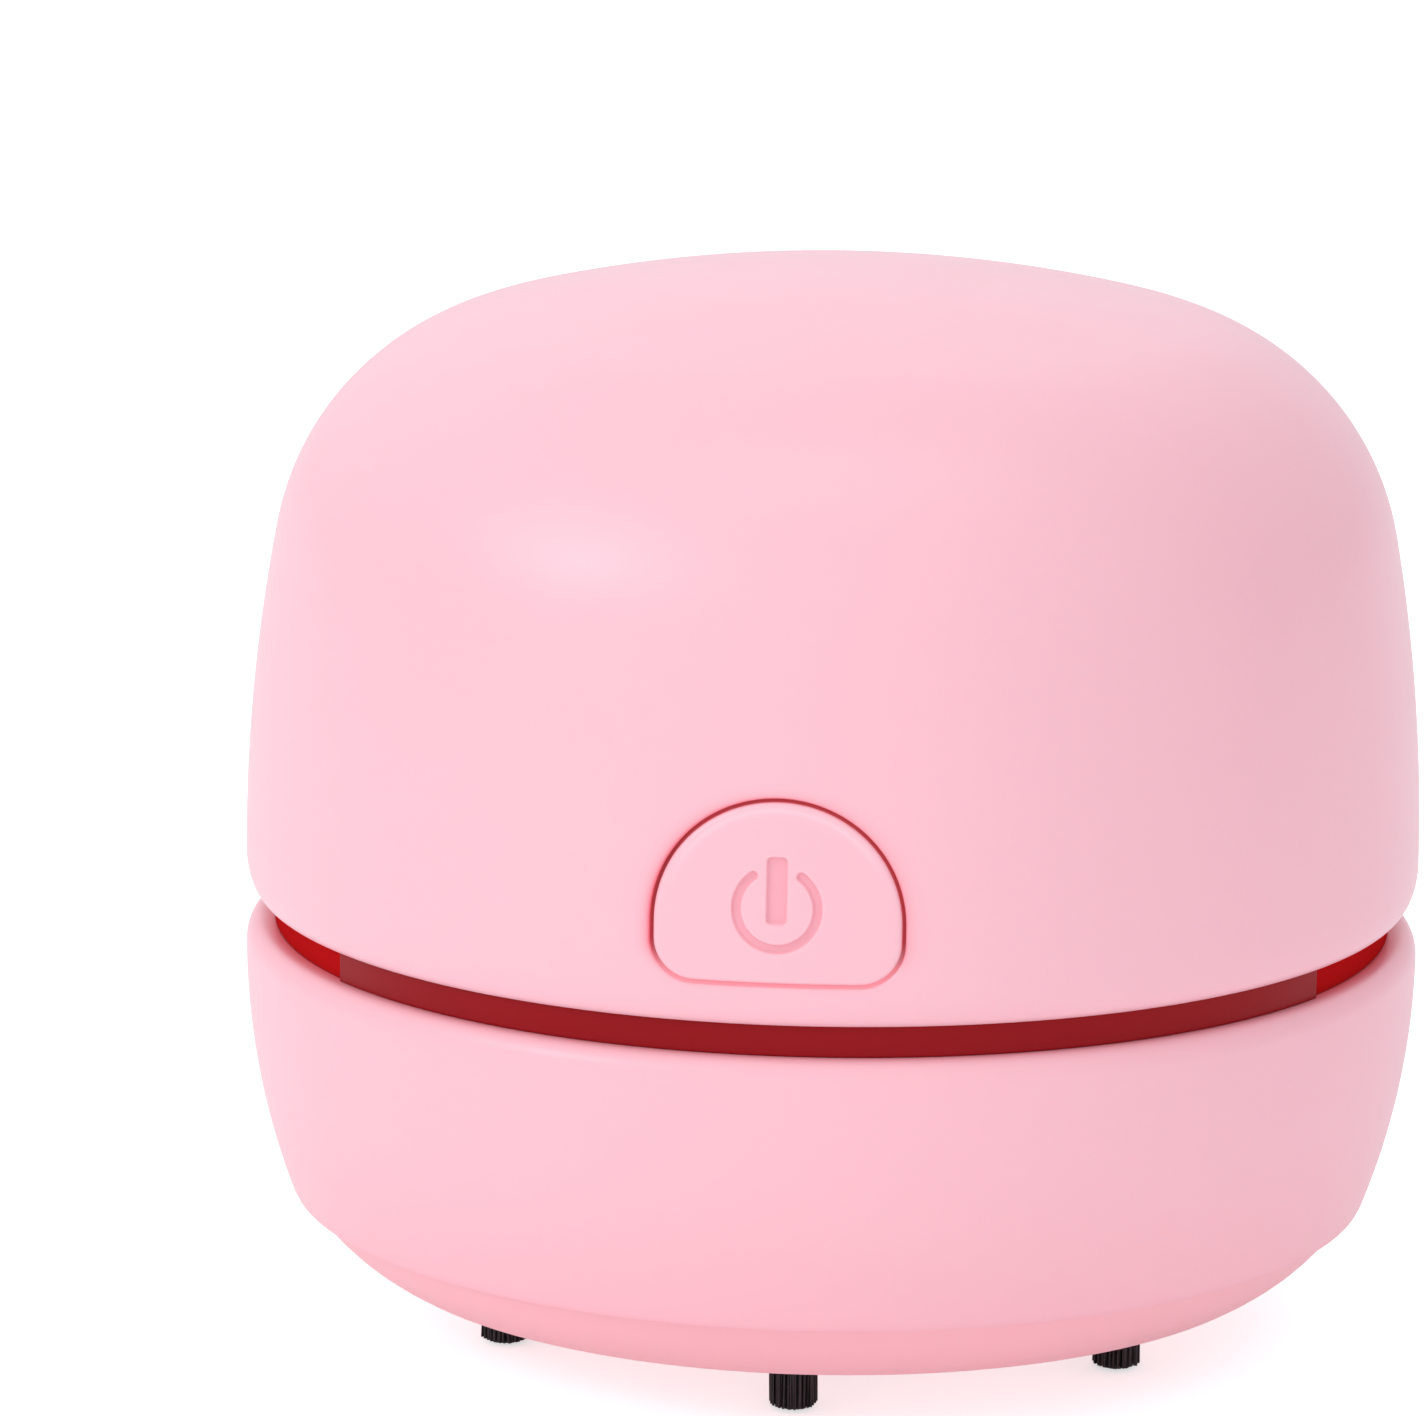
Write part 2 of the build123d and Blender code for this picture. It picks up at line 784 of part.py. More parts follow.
cell_z = deck_top + tray_floor + cell_r + slip
bay_half = (cell_body + nub_length + spring_length) / 2 + plate_thick
tray_r = spigot_in - slip
trough_inner = cell_offset - cell_r - slip - tray_wall / 2
trough_outer = cell_offset + cell_r + slip + tray_wall

with BuildPart() as battery_tray:
    with BuildSketch(Plane.XY.offset(deck_top)):
        Rectangle(2 * trough_outer, 2 * (bay_half + tray_wall))
        Circle(tray_r, mode=Mode.INTERSECT)
    extrude(amount=cell_z - deck_top)
    with BuildSketch(Plane.XZ.offset(-bay_half)):
        with Locations((-cell_offset, cell_z), (cell_offset, cell_z)):
            Circle(cell_r + slip)
    extrude(amount=2 * bay_half, mode=Mode.SUBTRACT)
    with BuildSketch(Plane.XY.offset(deck_top + tray_floor)):
        Rectangle(2 * trough_inner, 2 * body_r)
    extrude(amount=cell_z - deck_top, mode=Mode.SUBTRACT)
    with BuildSketch(Plane.XY.offset(deck_top)):
        Circle(motor_r + slip)
        with Locations((0, -board_front)):
            Rectangle(
                board_width + 2 * board_clear,
                board_length + board_clear,
                align=(Align.CENTER, Align.MIN),
            )
        with Locations((0, tray_screw_back)):
            with GridLocations(2 * tray_screw_offset, 1, 2, 1):
                Circle(screw_r + screw_clear)
    extrude(amount=tray_floor, mode=Mode.SUBTRACT)
write(battery_tray.part, "battery_tray")

with BuildPart() as tray_screws:
    with BuildSketch(Plane.XY.offset(deck_top + tray_floor)):
        with Locations((0, tray_screw_back)):
            with GridLocations(2 * tray_screw_offset, 1, 2, 1):
                Circle(screw_head_r)
    extrude(amount=screw_head)
    with BuildSketch(Plane.XY.offset(deck_top + tray_floor)):
        with Locations((0, tray_screw_back)):
            with GridLocations(2 * tray_screw_offset, 1, 2, 1):
                Circle(screw_r)
    extrude(amount=-tray_floor - deck_wall)
    with BuildSketch(Plane.XY.offset(deck_top + tray_floor + screw_head)):
        with Locations((0, tray_screw_back)):
            with GridLocations(2 * tray_screw_offset, 1, 2, 1):
                cross()
    extrude(amount=-cross_depth, mode=Mode.SUBTRACT)
write(tray_screws.part, "tray_screws")


def cell(side):
    """A battery cell lying in its trough, its nub at -Y on the +X side and at +Y on the other."""
    nub_y = -side * (bay_half - plate_thick)
    body_y = nub_y + side * nub_length
    with BuildPart() as battery:
        with BuildSketch(Plane.XZ.offset(-body_y)):
            with Locations((side * cell_offset, cell_z)):
                Circle(cell_r)
        extrude(amount=-side * cell_body)
        fillet(battery.edges().filter_by(GeomType.CIRCLE), cell_edge)
        with BuildSketch(Plane.XZ.offset(-nub_y)):
            with Locations((side * cell_offset, cell_z)):
                Circle(nub_r)
        extrude(amount=-side * nub_length)
    return battery.part


write(cell(1), "battery_cell_right")
write(cell(-1), "battery_cell_left")

with BuildPart() as battery_plates:
    with BuildSketch(Plane.XZ.offset(bay_half)):
        with Locations((-cell_offset, cell_z), (cell_offset, cell_z)):
            Rectangle(contact_width, contact_height)
    extrude(amount=-plate_thick)
    with BuildSketch(Plane.XZ.offset(-bay_half)):
        with Locations((-cell_offset, cell_z), (cell_offset, cell_z)):
            Rectangle(contact_width, contact_height)
        with Locations((0, cell_z + link_rise)):
            Rectangle(2 * cell_offset, link_height)
    extrude(amount=plate_thick)
write(battery_plates.part, "battery_plates")

coil_length = spring_length - 2 * spring_wire_r
coil_taper = -degrees(atan2(spring_base_r - spring_tip_r, coil_length))

with BuildPart() as battery_springs:
    for side in (1, -1):
        root_y = side * (bay_half - plate_thick - spring_wire_r)
        with BuildLine() as coil:
            Helix(
                coil_length / spring_turns,
                coil_length,
                spring_base_r,
                center=(side * cell_offset, root_y, cell_z),
                direction=(0, -side, 0),
                cone_angle=coil_taper,
            )
        with BuildSketch(Plane(origin=coil.line @ 0, z_dir=coil.line % 0)):
            Circle(spring_wire_r)
        sweep(path=coil.line)
write(battery_springs.part, "battery_springs")

# ---- switch ---------------------------------------------------------------------------

board_top = deck_top + board_thick
plunger_z = board_top + switch_height / 2
plunger_space = plunger_side + 2 * slip
plunger_bore = plunger_root + button_travel + plunger_clear

with BuildPart() as switch_board:
    with BuildSketch(Plane.XY.offset(deck_top)):
        with Locations((0, -board_front)):
            Rectangle(board_width, board_length, align=(Align.CENTER, Align.MIN))
    extrude(amount=board_thick)
write(switch_board.part, "switch_board")

with BuildPart() as switch_body:
    with BuildSketch(Plane.XY.offset(board_top)):
        with Locations((0, -switch_front)):
            Rectangle(switch_width, switch_depth, align=(Align.CENTER, Align.MIN))
    extrude(amount=switch_height)
    with BuildSketch(Plane.XZ.offset(switch_front)):
        with Locations((0, plunger_z)):
            Rectangle(plunger_space, plunger_space)
    extrude(amount=-plunger_bore, mode=Mode.SUBTRACT)
write(switch_body.part, "switch_body")

with BuildPart() as switch_plunger:
    with BuildSketch(Plane.XZ.offset(plunger_tip)):
        with Locations((0, plunger_z)):
            RectangleRounded(plunger_side, plunger_side, plunger_edge)
    extrude(amount=-plunger_reach - plunger_root)
write(switch_plunger.part, "switch_plunger")

# ---- leads ----------------------------------------------------------------------------

contact_top = cell_z + contact_height / 2
contact_y = bay_half - plate_thick / 2
lead_x = cell_offset - contact_width / 3
lead_over = contact_top + lead_rise
board_x = board_width / 2 - lead_inset
can_front = motor_r + lead_stand
land_y = board_front - board_length + lead_step
terminal_y = terminal_width / 2
terminal_z = cap_top + lead_joint
lead_high = terminal_z + lead_loop

lead_red = lead(
    (lead_x, -contact_y, contact_top),
    (lead_x, -contact_y, lead_over),
    (lead_x - lead_run, -contact_y + lead_step, lead_over),
    (board_x + lead_step, -contact_y + lead_set, board_top + 2 * lead_run),
    (board_x, -contact_y + lead_set, board_top + lead_run),
    (board_x, -contact_y + lead_set, board_top),
)
write(lead_red, "lead_red")

lead_switch = lead(
    (-board_x + 1, -land_y, board_top),
    (-board_x + 1, -land_y, board_top + 8),
    (-board_x + 0.4, -can_front - 3, can_top - 8),
    (-terminal_offset, -can_front - 0.5, can_top + 3),
    (-terminal_offset, -can_front + 4, lead_high),
    (-terminal_offset, -terminal_y - 3.4, terminal_z),
    (-terminal_offset, -terminal_y, terminal_z),
)
write(lead_switch, "lead_switch")

lead_black = lead(
    (-lead_x, -contact_y, contact_top),
    (-lead_x, -contact_y, lead_over + 1),
    (-lead_x + 6, -can_front - 5.5, can_top - 3),
    (-3, -can_front, lead_high),
    (terminal_offset, -can_front + 5.5, lead_high),
    (terminal_offset, -terminal_y - 3.4, terminal_z),
    (terminal_offset, -terminal_y, terminal_z),
)
write(lead_black, "lead_black")
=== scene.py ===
import random
from math import asin, atan2, cos, pi, radians, sin, sqrt, tau

import bmesh
import bpy
import numpy as np
from mathutils import Matrix, Vector


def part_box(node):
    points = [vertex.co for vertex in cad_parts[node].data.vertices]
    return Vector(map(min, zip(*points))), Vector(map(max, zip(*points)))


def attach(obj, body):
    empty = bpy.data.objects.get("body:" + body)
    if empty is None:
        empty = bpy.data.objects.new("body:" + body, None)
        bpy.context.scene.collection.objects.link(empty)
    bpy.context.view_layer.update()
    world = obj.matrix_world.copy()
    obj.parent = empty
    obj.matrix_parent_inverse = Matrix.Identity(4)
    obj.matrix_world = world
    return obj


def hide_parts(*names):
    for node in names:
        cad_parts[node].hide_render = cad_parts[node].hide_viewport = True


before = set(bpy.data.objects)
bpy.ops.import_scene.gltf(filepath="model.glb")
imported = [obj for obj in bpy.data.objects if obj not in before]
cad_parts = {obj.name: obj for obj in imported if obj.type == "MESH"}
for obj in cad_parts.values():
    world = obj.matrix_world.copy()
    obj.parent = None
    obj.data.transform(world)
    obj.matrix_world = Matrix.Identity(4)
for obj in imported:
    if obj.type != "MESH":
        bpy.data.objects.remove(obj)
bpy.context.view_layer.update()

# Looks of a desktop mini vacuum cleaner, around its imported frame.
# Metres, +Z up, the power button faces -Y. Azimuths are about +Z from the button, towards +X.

MM = 0.001

# ---- sizes of the shells ----------------------------------------------------------------

cover_low, cover_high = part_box("top_cover")
box_low, box_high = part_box("dust_box")

BODY_R = round(cover_high.x, 6)
COVER_LIP = cover_low.z
CROWN = cover_high.z
BOX_LIP = box_high.z
FOOT = box_low.z
PLATE_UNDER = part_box("base_plate")[0].z
TUFT_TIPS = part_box("bristle_tufts")[0].z

# Skins, as the construction has them. LIP_DEPTH follows the photograph instead.
WALL = 2.0 * MM
LIP_DEPTH = 1.3 * MM
COVER_LIP_RISE = 2.9 * MM
BOX_LIP_RISE = 1.7 * MM
SIDE_R = 128.0 * MM
SHOULDER_R = 20.0 * MM
CROWN_R = 105.0 * MM
BOWL_R = 52.0 * MM
FOOT_EDGE = 0.12 * MM
MOUTH_INSET = 0.095 * MM  # leaves it a hair off the red ring that the dust box fits on
MOUTH_R = BODY_R - WALL - MOUTH_INSET
MOUTH_DEPTH = 6.5 * MM
MOUTH_BEVEL = 0.05 * MM

# Button, measured on its own face. BUTTON_DROP follows the photograph.
BUTTON_R = 8.5 * MM
BUTTON_RISE = 7.2 * MM
BUTTON_DROP = 4.0 * MM
BUTTON_CORNER = 2.8 * MM
BUTTON_GAP = 0.25 * MM
BUTTON_EDGE = 0.3 * MM
RIM_EDGE = 0.30 * MM
SLEEVE_WALL = 1.0 * MM
SLEEVE_END = -39.4 * MM
FLANGE_GROW = 1.0 * MM
FLANGE_FRONT = -39.1 * MM
FLANGE_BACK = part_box("power_button")[1].y
SYMBOL_RISE = 1.2 * MM
SYMBOL_R = 3.08 * MM
SYMBOL_STROKE = 0.58 * MM
SYMBOL_OPENING = radians(36.0)
SYMBOL_BAR = 0.675 * MM  # half its width
SYMBOL_BAR_TOP = 3.55 * MM
SYMBOL_BAR_DROP = 1.05 * MM
SYMBOL_BAR_ROUND = 0.45 * SYMBOL_BAR
SYMBOL_DEPTH = 0.3 * MM
SYMBOL_BEVEL = 0.20 * MM

# Stop ribs inside the cover
RIB_COUNT = 6
RIB_AZIMUTH = radians(30.0)
RIB_THICK = 1.2 * MM
RIB_HEIGHT = 6.4 * MM
RIB_LOW = 5.25 * MM
RIB_INNER = 39.6 * MM
RIB_OUTER = 41.3 * MM
RIB_BEVEL = 0.3 * MM

COVER_EQUATOR = COVER_LIP + COVER_LIP_RISE
BOWL_EQUATOR = BOX_LIP - BOX_LIP_RISE
BUTTON_Z = COVER_LIP + BUTTON_RISE
SYMBOL_Z = BUTTON_Z + SYMBOL_RISE  # rays across the button's face start here
PATCH_Z = BUTTON_Z + 2.0 * MM  # rays across the cover's patch round the button start here
SIDE_CENTRE = (BODY_R - SIDE_R, COVER_EQUATOR)
CROWN_CENTRE = (0.0, CROWN - CROWN_R)
BOWL_CENTRE = (BODY_R - BOWL_R, BOWL_EQUATOR)


def outer_crossing(first, first_r, second, second_r):
    """Where two circles of a half section cross, on the side away from the axis."""
    dx, dz = second[0] - first[0], second[1] - first[1]
    span = sqrt(dx * dx + dz * dz)
    along = (first_r**2 - second_r**2 + span**2) / (2 * span)
    across = sqrt(first_r**2 - along**2)
    mx, mz = first[0] + dx / span * along, first[1] + dz / span * along
    return max((mx + s * dz / span * across, mz - s * dx / span * across) for s in (1, -1))


def bearing(start, end):
    return atan2(end[1] - start[1], end[0] - start[0])


SHOULDER_CENTRE = outer_crossing(
    SIDE_CENTRE, SIDE_R - SHOULDER_R, CROWN_CENTRE, CROWN_R - SHOULDER_R
)
SIDE_END = bearing(SIDE_CENTRE, SHOULDER_CENTRE)
CROWN_START = bearing(CROWN_CENTRE, SHOULDER_CENTRE)

# ---- half sections ----------------------------------------------------------------------


def arc(centre, across, up, start, end, steps):
    """Points (radius, height) along an elliptical arc, its first point left out."""
    angles = [start + (end - start) * i / steps for i in range(1, steps + 1)]
    return [(centre[0] + across * cos(a), centre[1] + up * sin(a)) for a in angles]


def cover_profile(inset, lip):
    """The cover's skin from its lip to its crown."""
    edge = BODY_R - inset
    if lip:
        points = [(edge - lip, COVER_LIP)]
        points += arc((edge - lip, COVER_EQUATOR), lip, COVER_LIP_RISE, -pi / 2, 0, 12)
    else:
        points = [(edge, COVER_LIP), (edge, COVER_EQUATOR)]
    for centre, radius, start, end, steps in (
        (SIDE_CENTRE, SIDE_R, 0, SIDE_END, 40),
        (SHOULDER_CENTRE, SHOULDER_R, SIDE_END, CROWN_START, 26),
        (CROWN_CENTRE, CROWN_R, CROWN_START, pi / 2, 22),
    ):
        points += arc(centre, radius - inset, radius - inset, start, end, steps)
    return points


def cover_radius(height, inset=0.0):
    """The cover's radius at a height below its shoulder."""
    if height < COVER_EQUATOR and inset == 0.0:
        drop = min(1.0, (COVER_EQUATOR - height) / COVER_LIP_RISE)
        return BODY_R - LIP_DEPTH + LIP_DEPTH * sqrt(1 - drop * drop)
    rise = max(0.0, height - COVER_EQUATOR)
    return SIDE_CENTRE[0] + sqrt((SIDE_R - inset) ** 2 - rise * rise)


def bowl_radius(height, inset=0.0):
    drop = BOWL_EQUATOR - height
    return BOWL_CENTRE[0] + sqrt((BOWL_R - inset) ** 2 - drop * drop)


# ---- meshes -----------------------------------------------------------------------------

ON_AXIS = 1e-7
WELD = 2e-6


def turned(radius, azimuth, height):
    return (radius * sin(azimuth), -radius * cos(azimuth), height)


class Loft:
    """Collects rows of points, and the faces between them, into one mesh."""

    def __init__(self):
        self.points = []
        self.faces = []
        self.marks = []  # the finish of each face

    def row(self, points):
        start = len(self.points)
        self.points += [tuple(p) for p in points]
        return list(range(start, len(self.points)))

    def turned_row(self, radius, height, angles):
        """A row round the axis, or on it one point, named once for each angle."""
        if radius < ON_AXIS:
            return self.row([(0.0, 0.0, height)]) * len(angles)
        return self.row(turned(radius, a, height) for a in angles)

    def face(self, corners, mark=0):
        """One face. A corner that is named twice is taken once."""
        self.faces.append(tuple(dict.fromkeys(corners)))
        self.marks.append(mark)

    def bridge(self, low, high, mark=0, first=0):
        """Faces between two rings, from a first place on, facing right of low towards high."""
        for i in range(first, len(low)):
            j = (i + 1) % len(low)
            self.face((low[i], low[j], high[j], high[i]), mark)

    def cap(self, ring, centre):
        for i in range(len(ring)):
            self.face((ring[i], ring[(i + 1) % len(ring)], centre))

    def build(self, name):
        mesh = bpy.data.meshes.new(name)
        mesh.from_pydata(self.points, [], self.faces)
        mesh.validate()
        mesh.polygons.foreach_set("material_index", self.marks[: len(mesh.polygons)])
        mesh.polygons.foreach_set("use_smooth", [True] * len(mesh.polygons))
        made = bpy.data.objects.new(name, mesh)
        bpy.context.scene.collection.objects.link(made)
        return made


def weld(made):
    """Joins points that lie on each other, and turns every face outwards."""
    work = bmesh.new()
    work.from_mesh(made.data)
    bmesh.ops.remove_doubles(work, verts=work.verts, dist=WELD)
    bmesh.ops.dissolve_degenerate(work, edges=work.edges, dist=WELD)
    bmesh.ops.recalc_face_normals(work, faces=work.faces)
    work.to_mesh(made.data)
    work.free()
    made.data.update()


def sharpen(made, angle):
    """Keeps creases above an angle in degrees, and smooths the rest."""
    made.data.set_sharp_from_angle(angle=radians(angle))


def vertex_places(made):
    """A mesh's points as columns x, y and z."""
    flat = np.zeros(len(made.data.vertices) * 3)
    made.data.vertices.foreach_get("co", flat)
    return flat.reshape(-1, 3).T


def shade_by(made, name, values):
    """Stores a value per point that the piece's finish blends by."""
    layer = made.data.attributes.new(name, "FLOAT", "POINT")
    layer.data.foreach_set("value", np.asarray(values, dtype=np.float32))


def smooth_step(value, edge, width):
    """0 below edge, 1 above it, with a soft change over width."""
    t = np.clip((value - edge) / width + 0.5, 0.0, 1.0)
    return t * t * (3 - 2 * t)


# ---- the button's outline on the cover's skin -------------------------------------------

ARCH_STEPS = 180
CORNER_STEPS = 60
OUTLINE_STEP = 0.05 * MM
EDGE_STEPS = 6
LOW_DROP = 0.65 * BUTTON_DROP  # how far under the arch's centre the gap's foot takes over
LOW_FADE = 2.4 * MM


def outline_points(grow):
    """The arch's outline grown by grow, as (x, z), once round."""
    radius = BUTTON_R + grow
    corner = BUTTON_CORNER + grow
    side = BUTTON_R - BUTTON_CORNER
    foot = BUTTON_Z - BUTTON_DROP + BUTTON_CORNER
    points = arc((0.0, BUTTON_Z), radius, radius, 0, pi, ARCH_STEPS)
    points += arc((-side, foot), corner, corner, pi, 1.5 * pi, CORNER_STEPS)
    points += arc((side, foot), corner, corner, -pi / 2, 0, CORNER_STEPS)
    return np.array(points)


def outline_reach(grow, ways, centre):
    """Distance from a centre on the outline's middle line to the grown outline, each way."""
    points = outline_points(grow) - np.array([0.0, centre])
    dense = []
    for a, b in zip(points, np.roll(points, -1, axis=0)):
        steps = max(2, int(np.linalg.norm(b - a) / OUTLINE_STEP))
        dense += [a + (b - a) * k / steps for k in range(steps)]
    dense = np.array(dense)
    way = np.arctan2(dense[:, 1], dense[:, 0]) % tau
    order = np.argsort(way)
    return np.interp(ways, way[order], np.hypot(*dense[order].T), period=tau)


def outline_distance(x, z):
    """How far points of the face are outside the button's outline; inside is negative."""
    upper = np.hypot(x, np.maximum(z - BUTTON_Z, 0)) - BUTTON_R
    across = np.abs(x) - (BUTTON_R - BUTTON_CORNER)
    down = (BUTTON_Z - z) - (BUTTON_DROP - BUTTON_CORNER)
    beyond = np.hypot(np.maximum(across, 0), np.maximum(down, 0))
    lower = beyond + np.minimum(np.maximum(across, down), 0) - BUTTON_CORNER
    return np.maximum(upper, lower)


def low_share(z):
    """0 up the button's gap, 1 along its flat foot, which the light reaches and where the gap's
    painted tones are paler.
    """
    return 1 - smooth_step(z, BUTTON_Z - LOW_DROP, LOW_FADE)


def on_skin(x, z, inset=0.0):
    """A point of the cover's skin straight in front of (x, z)."""
    radius = cover_radius(z, inset)
    return (x, -sqrt(radius * radius - x * x), z)


def skin_ring(loft, reach, ways, centre, inset=0.0, sink=0.0):
    """A ring on the skin, or sunk from it, at a reach each way from a centre."""
    ring = []
    for r, w in zip(reach, ways):
        x, y, z = on_skin(r * cos(w), centre + r * sin(w), inset)
        ring.append((x, y + sink, z))
    return loft.row(ring)


def flat_ring(loft, reach, ways, centre, y):
    """The same ring at one depth y."""
    return loft.row((r * cos(w), y, centre + r * sin(w)) for r, w in zip(reach, ways))


def rounded_edge(loft, last, ways, centre, start, end):
    """Rolls a ring on the skin over into the gap, from one growth of the outline to another."""
    for k in range(1, EDGE_STEPS + 1):
        turn = pi / 2 * k / EDGE_STEPS
        reach = outline_reach(end + (start - end) * (1 - sin(turn)), ways, centre)
        sink = abs(start - end) * (1 - cos(turn))
        ring = skin_ring(loft, reach, ways, centre, sink=sink)
        loft.bridge(last, ring)
        last = ring
    return last


# ---- cover ------------------------------------------------------------------------------

WINDOW_HALF = radians(19.0)
WINDOW_COLUMNS = 56
WINDOW_LOW = COVER_LIP + 1.45 * MM
WINDOW_HIGH = BUTTON_Z + 12.2 * MM
FAR_COLUMNS = 216
OUTER_RINGS = 9
INNER_RINGS = 5
RING_EASE = 1.6  # draws the rings together towards the cut
# Painted red glow on the cover round the button's gap, standing in for light scattered through
# the pink plastic
HALO_FADE = 0.20 * MM
HALO_FADE_ASIDE = 0.14 * MM  # added towards both sides
HALO_SHARE = 0.8
HALO_SHARE_LEFT = 0.2  # added at the left, taken off at the right
HALO_LOSS_LOW = 0.85  # the share of it that the gap's foot loses


def column_angles():
    """Azimuths round the cover: close together across the button, wider elsewhere."""
    near = np.linspace(-WINDOW_HALF, WINDOW_HALF, WINDOW_COLUMNS + 1)
    far = np.linspace(WINDOW_HALF, tau - WINDOW_HALF, FAR_COLUMNS + 1)[1:-1]
    return np.concatenate([near, far])


def windowed_skin(loft, profile, inset, grow, rings):
    """The cover's skin with the grown outline cut from it. Returns the cut's ring and ways."""
    angles = column_angles()
    rows = [loft.turned_row(radius, height, angles) for radius, height in profile]
    low, high = (
        min(range(len(profile)), key=lambda i: abs(profile[i][1] - level))
        for level in (WINDOW_LOW, WINDOW_HIGH)
    )
    for k, (under, over) in enumerate(zip(rows, rows[1:])):
        loft.bridge(under, over, first=WINDOW_COLUMNS if low <= k < high else 0)
    last = rows[low][:WINDOW_COLUMNS]
    last += [rows[k][WINDOW_COLUMNS] for k in range(low, high)]
    last += rows[high][WINDOW_COLUMNS:0:-1]
    last += [rows[k][0] for k in range(high, low, -1)]
    flat = np.array([(loft.points[v][0], loft.points[v][2] - PATCH_Z) for v in last])
    ways = np.arctan2(flat[:, 1], flat[:, 0]) % tau
    inner = outline_reach(grow, ways, PATCH_Z)
    outer = np.hypot(*flat.T)
    for k in range(1, rings + 1):
        t = 1 - (1 - k / rings) ** RING_EASE
        ring = skin_ring(loft, outer + (inner - outer) * t, ways, PATCH_Z, inset)
        loft.bridge(last, ring)
        last = ring
    return last, ways


def add_rib(loft, azimuth):
    """A stop rib inside the cover, with its inner corners bevelled."""
    out = Vector((sin(azimuth), -cos(azimuth), 0))
    side = Vector((cos(azimuth), sin(azimuth), 0)) * RIB_THICK / 2
    low = COVER_LIP + RIB_LOW
    high = low + RIB_HEIGHT
    shape = [
        (RIB_OUTER, low),
        (RIB_INNER + RIB_BEVEL, low),
        (RIB_INNER, low + RIB_BEVEL),
        (RIB_INNER, high - RIB_BEVEL),
        (RIB_INNER + RIB_BEVEL, high),
        (RIB_OUTER, high),
    ]
    sides = []
    for sign in (-1, 1):
        places = [(out * r + side * sign, z) for r, z in shape]
        sides.append(loft.row((p.x, p.y, z) for p, z in places))
    loft.bridge(*sides)
    loft.face(sides[0])
    loft.face(reversed(sides[1]))


def make_cover():
    """The domed cover: skin with a rounded cut-out, the button's sleeve, lip and ribs."""
    loft = Loft()
    outer, inner = cover_profile(0.0, LIP_DEPTH), cover_profile(WALL, 0.0)
    rim, sleeve = BUTTON_GAP + RIM_EDGE, BUTTON_GAP + SLEEVE_WALL
    cut, ways = windowed_skin(loft, outer, 0.0, rim, OUTER_RINGS)
    turned_in = rounded_edge(loft, cut, ways, PATCH_Z, rim, BUTTON_GAP)
    reach = outline_reach(BUTTON_GAP, ways, PATCH_Z)
    wall = flat_ring(loft, reach, ways, PATCH_Z, SLEEVE_END)
    loft.bridge(turned_in, wall, mark=1)
    reach = outline_reach(sleeve, ways, PATCH_Z)
    back = flat_ring(loft, reach, ways, PATCH_Z, SLEEVE_END)
    loft.bridge(wall, back)
    windowed_skin(loft, inner, WALL, sleeve, INNER_RINGS)
    loft.bridge(back, skin_ring(loft, reach, ways, PATCH_Z, WALL))
    angles = column_angles()
    under = loft.turned_row(BODY_R - LIP_DEPTH, COVER_LIP, angles)
    loft.bridge(under, loft.turned_row(BODY_R - WALL, COVER_LIP, angles))
    for k in range(RIB_COUNT):
        add_rib(loft, RIB_AZIMUTH + tau * k / RIB_COUNT)
    made = loft.build("cover_shell")
    weld(made)
    sharpen(made, 40)
    shade_cover(made)
    return made


def shade_cover(made):
    """The painted red glow beside the button's gap, strongest at the left and away from its foot.
    """
    x, y, z = vertex_places(made)
    outside = (y < 0) & (np.hypot(x, y) > cover_radius(BUTTON_Z) - WALL / 2)
    away = np.maximum(outline_distance(x, z) - BUTTON_GAP, 0)
    leftward = -x / np.maximum(np.hypot(x, z - BUTTON_Z), MM)
    fade = HALO_FADE + HALO_FADE_ASIDE * np.abs(leftward)
    weight = (HALO_SHARE + HALO_SHARE_LEFT * leftward) * (1 - HALO_LOSS_LOW * low_share(z))
    # painted red glow beside the gap, fading away from it
    shade_by(made, "painted_red_glow", np.where(outside, weight * np.exp(-away / fade), 0.0))
    # how far the gap's walls turn from their darker painted tones to the paler painted lit ones
    shade_by(made, "low", low_share(z))


# ---- button -----------------------------------------------------------------------------

BUTTON_WAYS = 320
SYMBOL_REACHES = np.linspace(0.06, 4.2, 84) * MM  # rings close enough to carry the symbol
FACE_RINGS = 12
# The painted highlight along the upper edge of the button's face:
HIGHLIGHT_IN = 0.55 * MM  # the light line along the upper edge of the button's face
HIGHLIGHT_FADE = 0.16 * MM
HIGHLIGHT_SHARE = 0.6
HIGHLIGHT_RISE = 4.0 * MM  # where it comes up, over the arch's centre
HIGHLIGHT_RISE_FADE = 5.0 * MM


def symbol_depth(x, z):
    """How far the power symbol is sunk at a point of the button's face, 0 to 1."""
    dx, dz = x, z - SYMBOL_Z
    middle = SYMBOL_R - SYMBOL_STROKE / 2
    opened = np.abs(np.arctan2(dx, dz)) < SYMBOL_OPENING
    end = middle * sin(SYMBOL_OPENING), middle * cos(SYMBOL_OPENING)
    from_end = np.hypot(np.abs(dx) - end[0], dz - end[1])
    off = np.where(opened, from_end, np.abs(np.hypot(dx, dz) - middle))
    ring = 1 - smooth_step(off, SYMBOL_STROKE / 2, SYMBOL_BEVEL)
    half_height = (SYMBOL_BAR_TOP + SYMBOL_BAR_DROP) / 2
    bar_middle = (SYMBOL_BAR_TOP - SYMBOL_BAR_DROP) / 2
    qx = np.abs(dx) - SYMBOL_BAR + SYMBOL_BAR_ROUND
    qz = np.abs(dz - bar_middle) - half_height + SYMBOL_BAR_ROUND
    away = np.hypot(np.maximum(qx, 0), np.maximum(qz, 0)) + np.minimum(np.maximum(qx, qz), 0)
    bar = 1 - smooth_step(away, SYMBOL_BAR_ROUND, SYMBOL_BEVEL)
    return np.maximum(ring, bar)


def face_point(x, z):
    """A point of the button's face, sunk where the symbol is."""
    sx, sy, sz = on_skin(x, z)
    return (sx, sy + SYMBOL_DEPTH * float(symbol_depth(x, z)), sz)


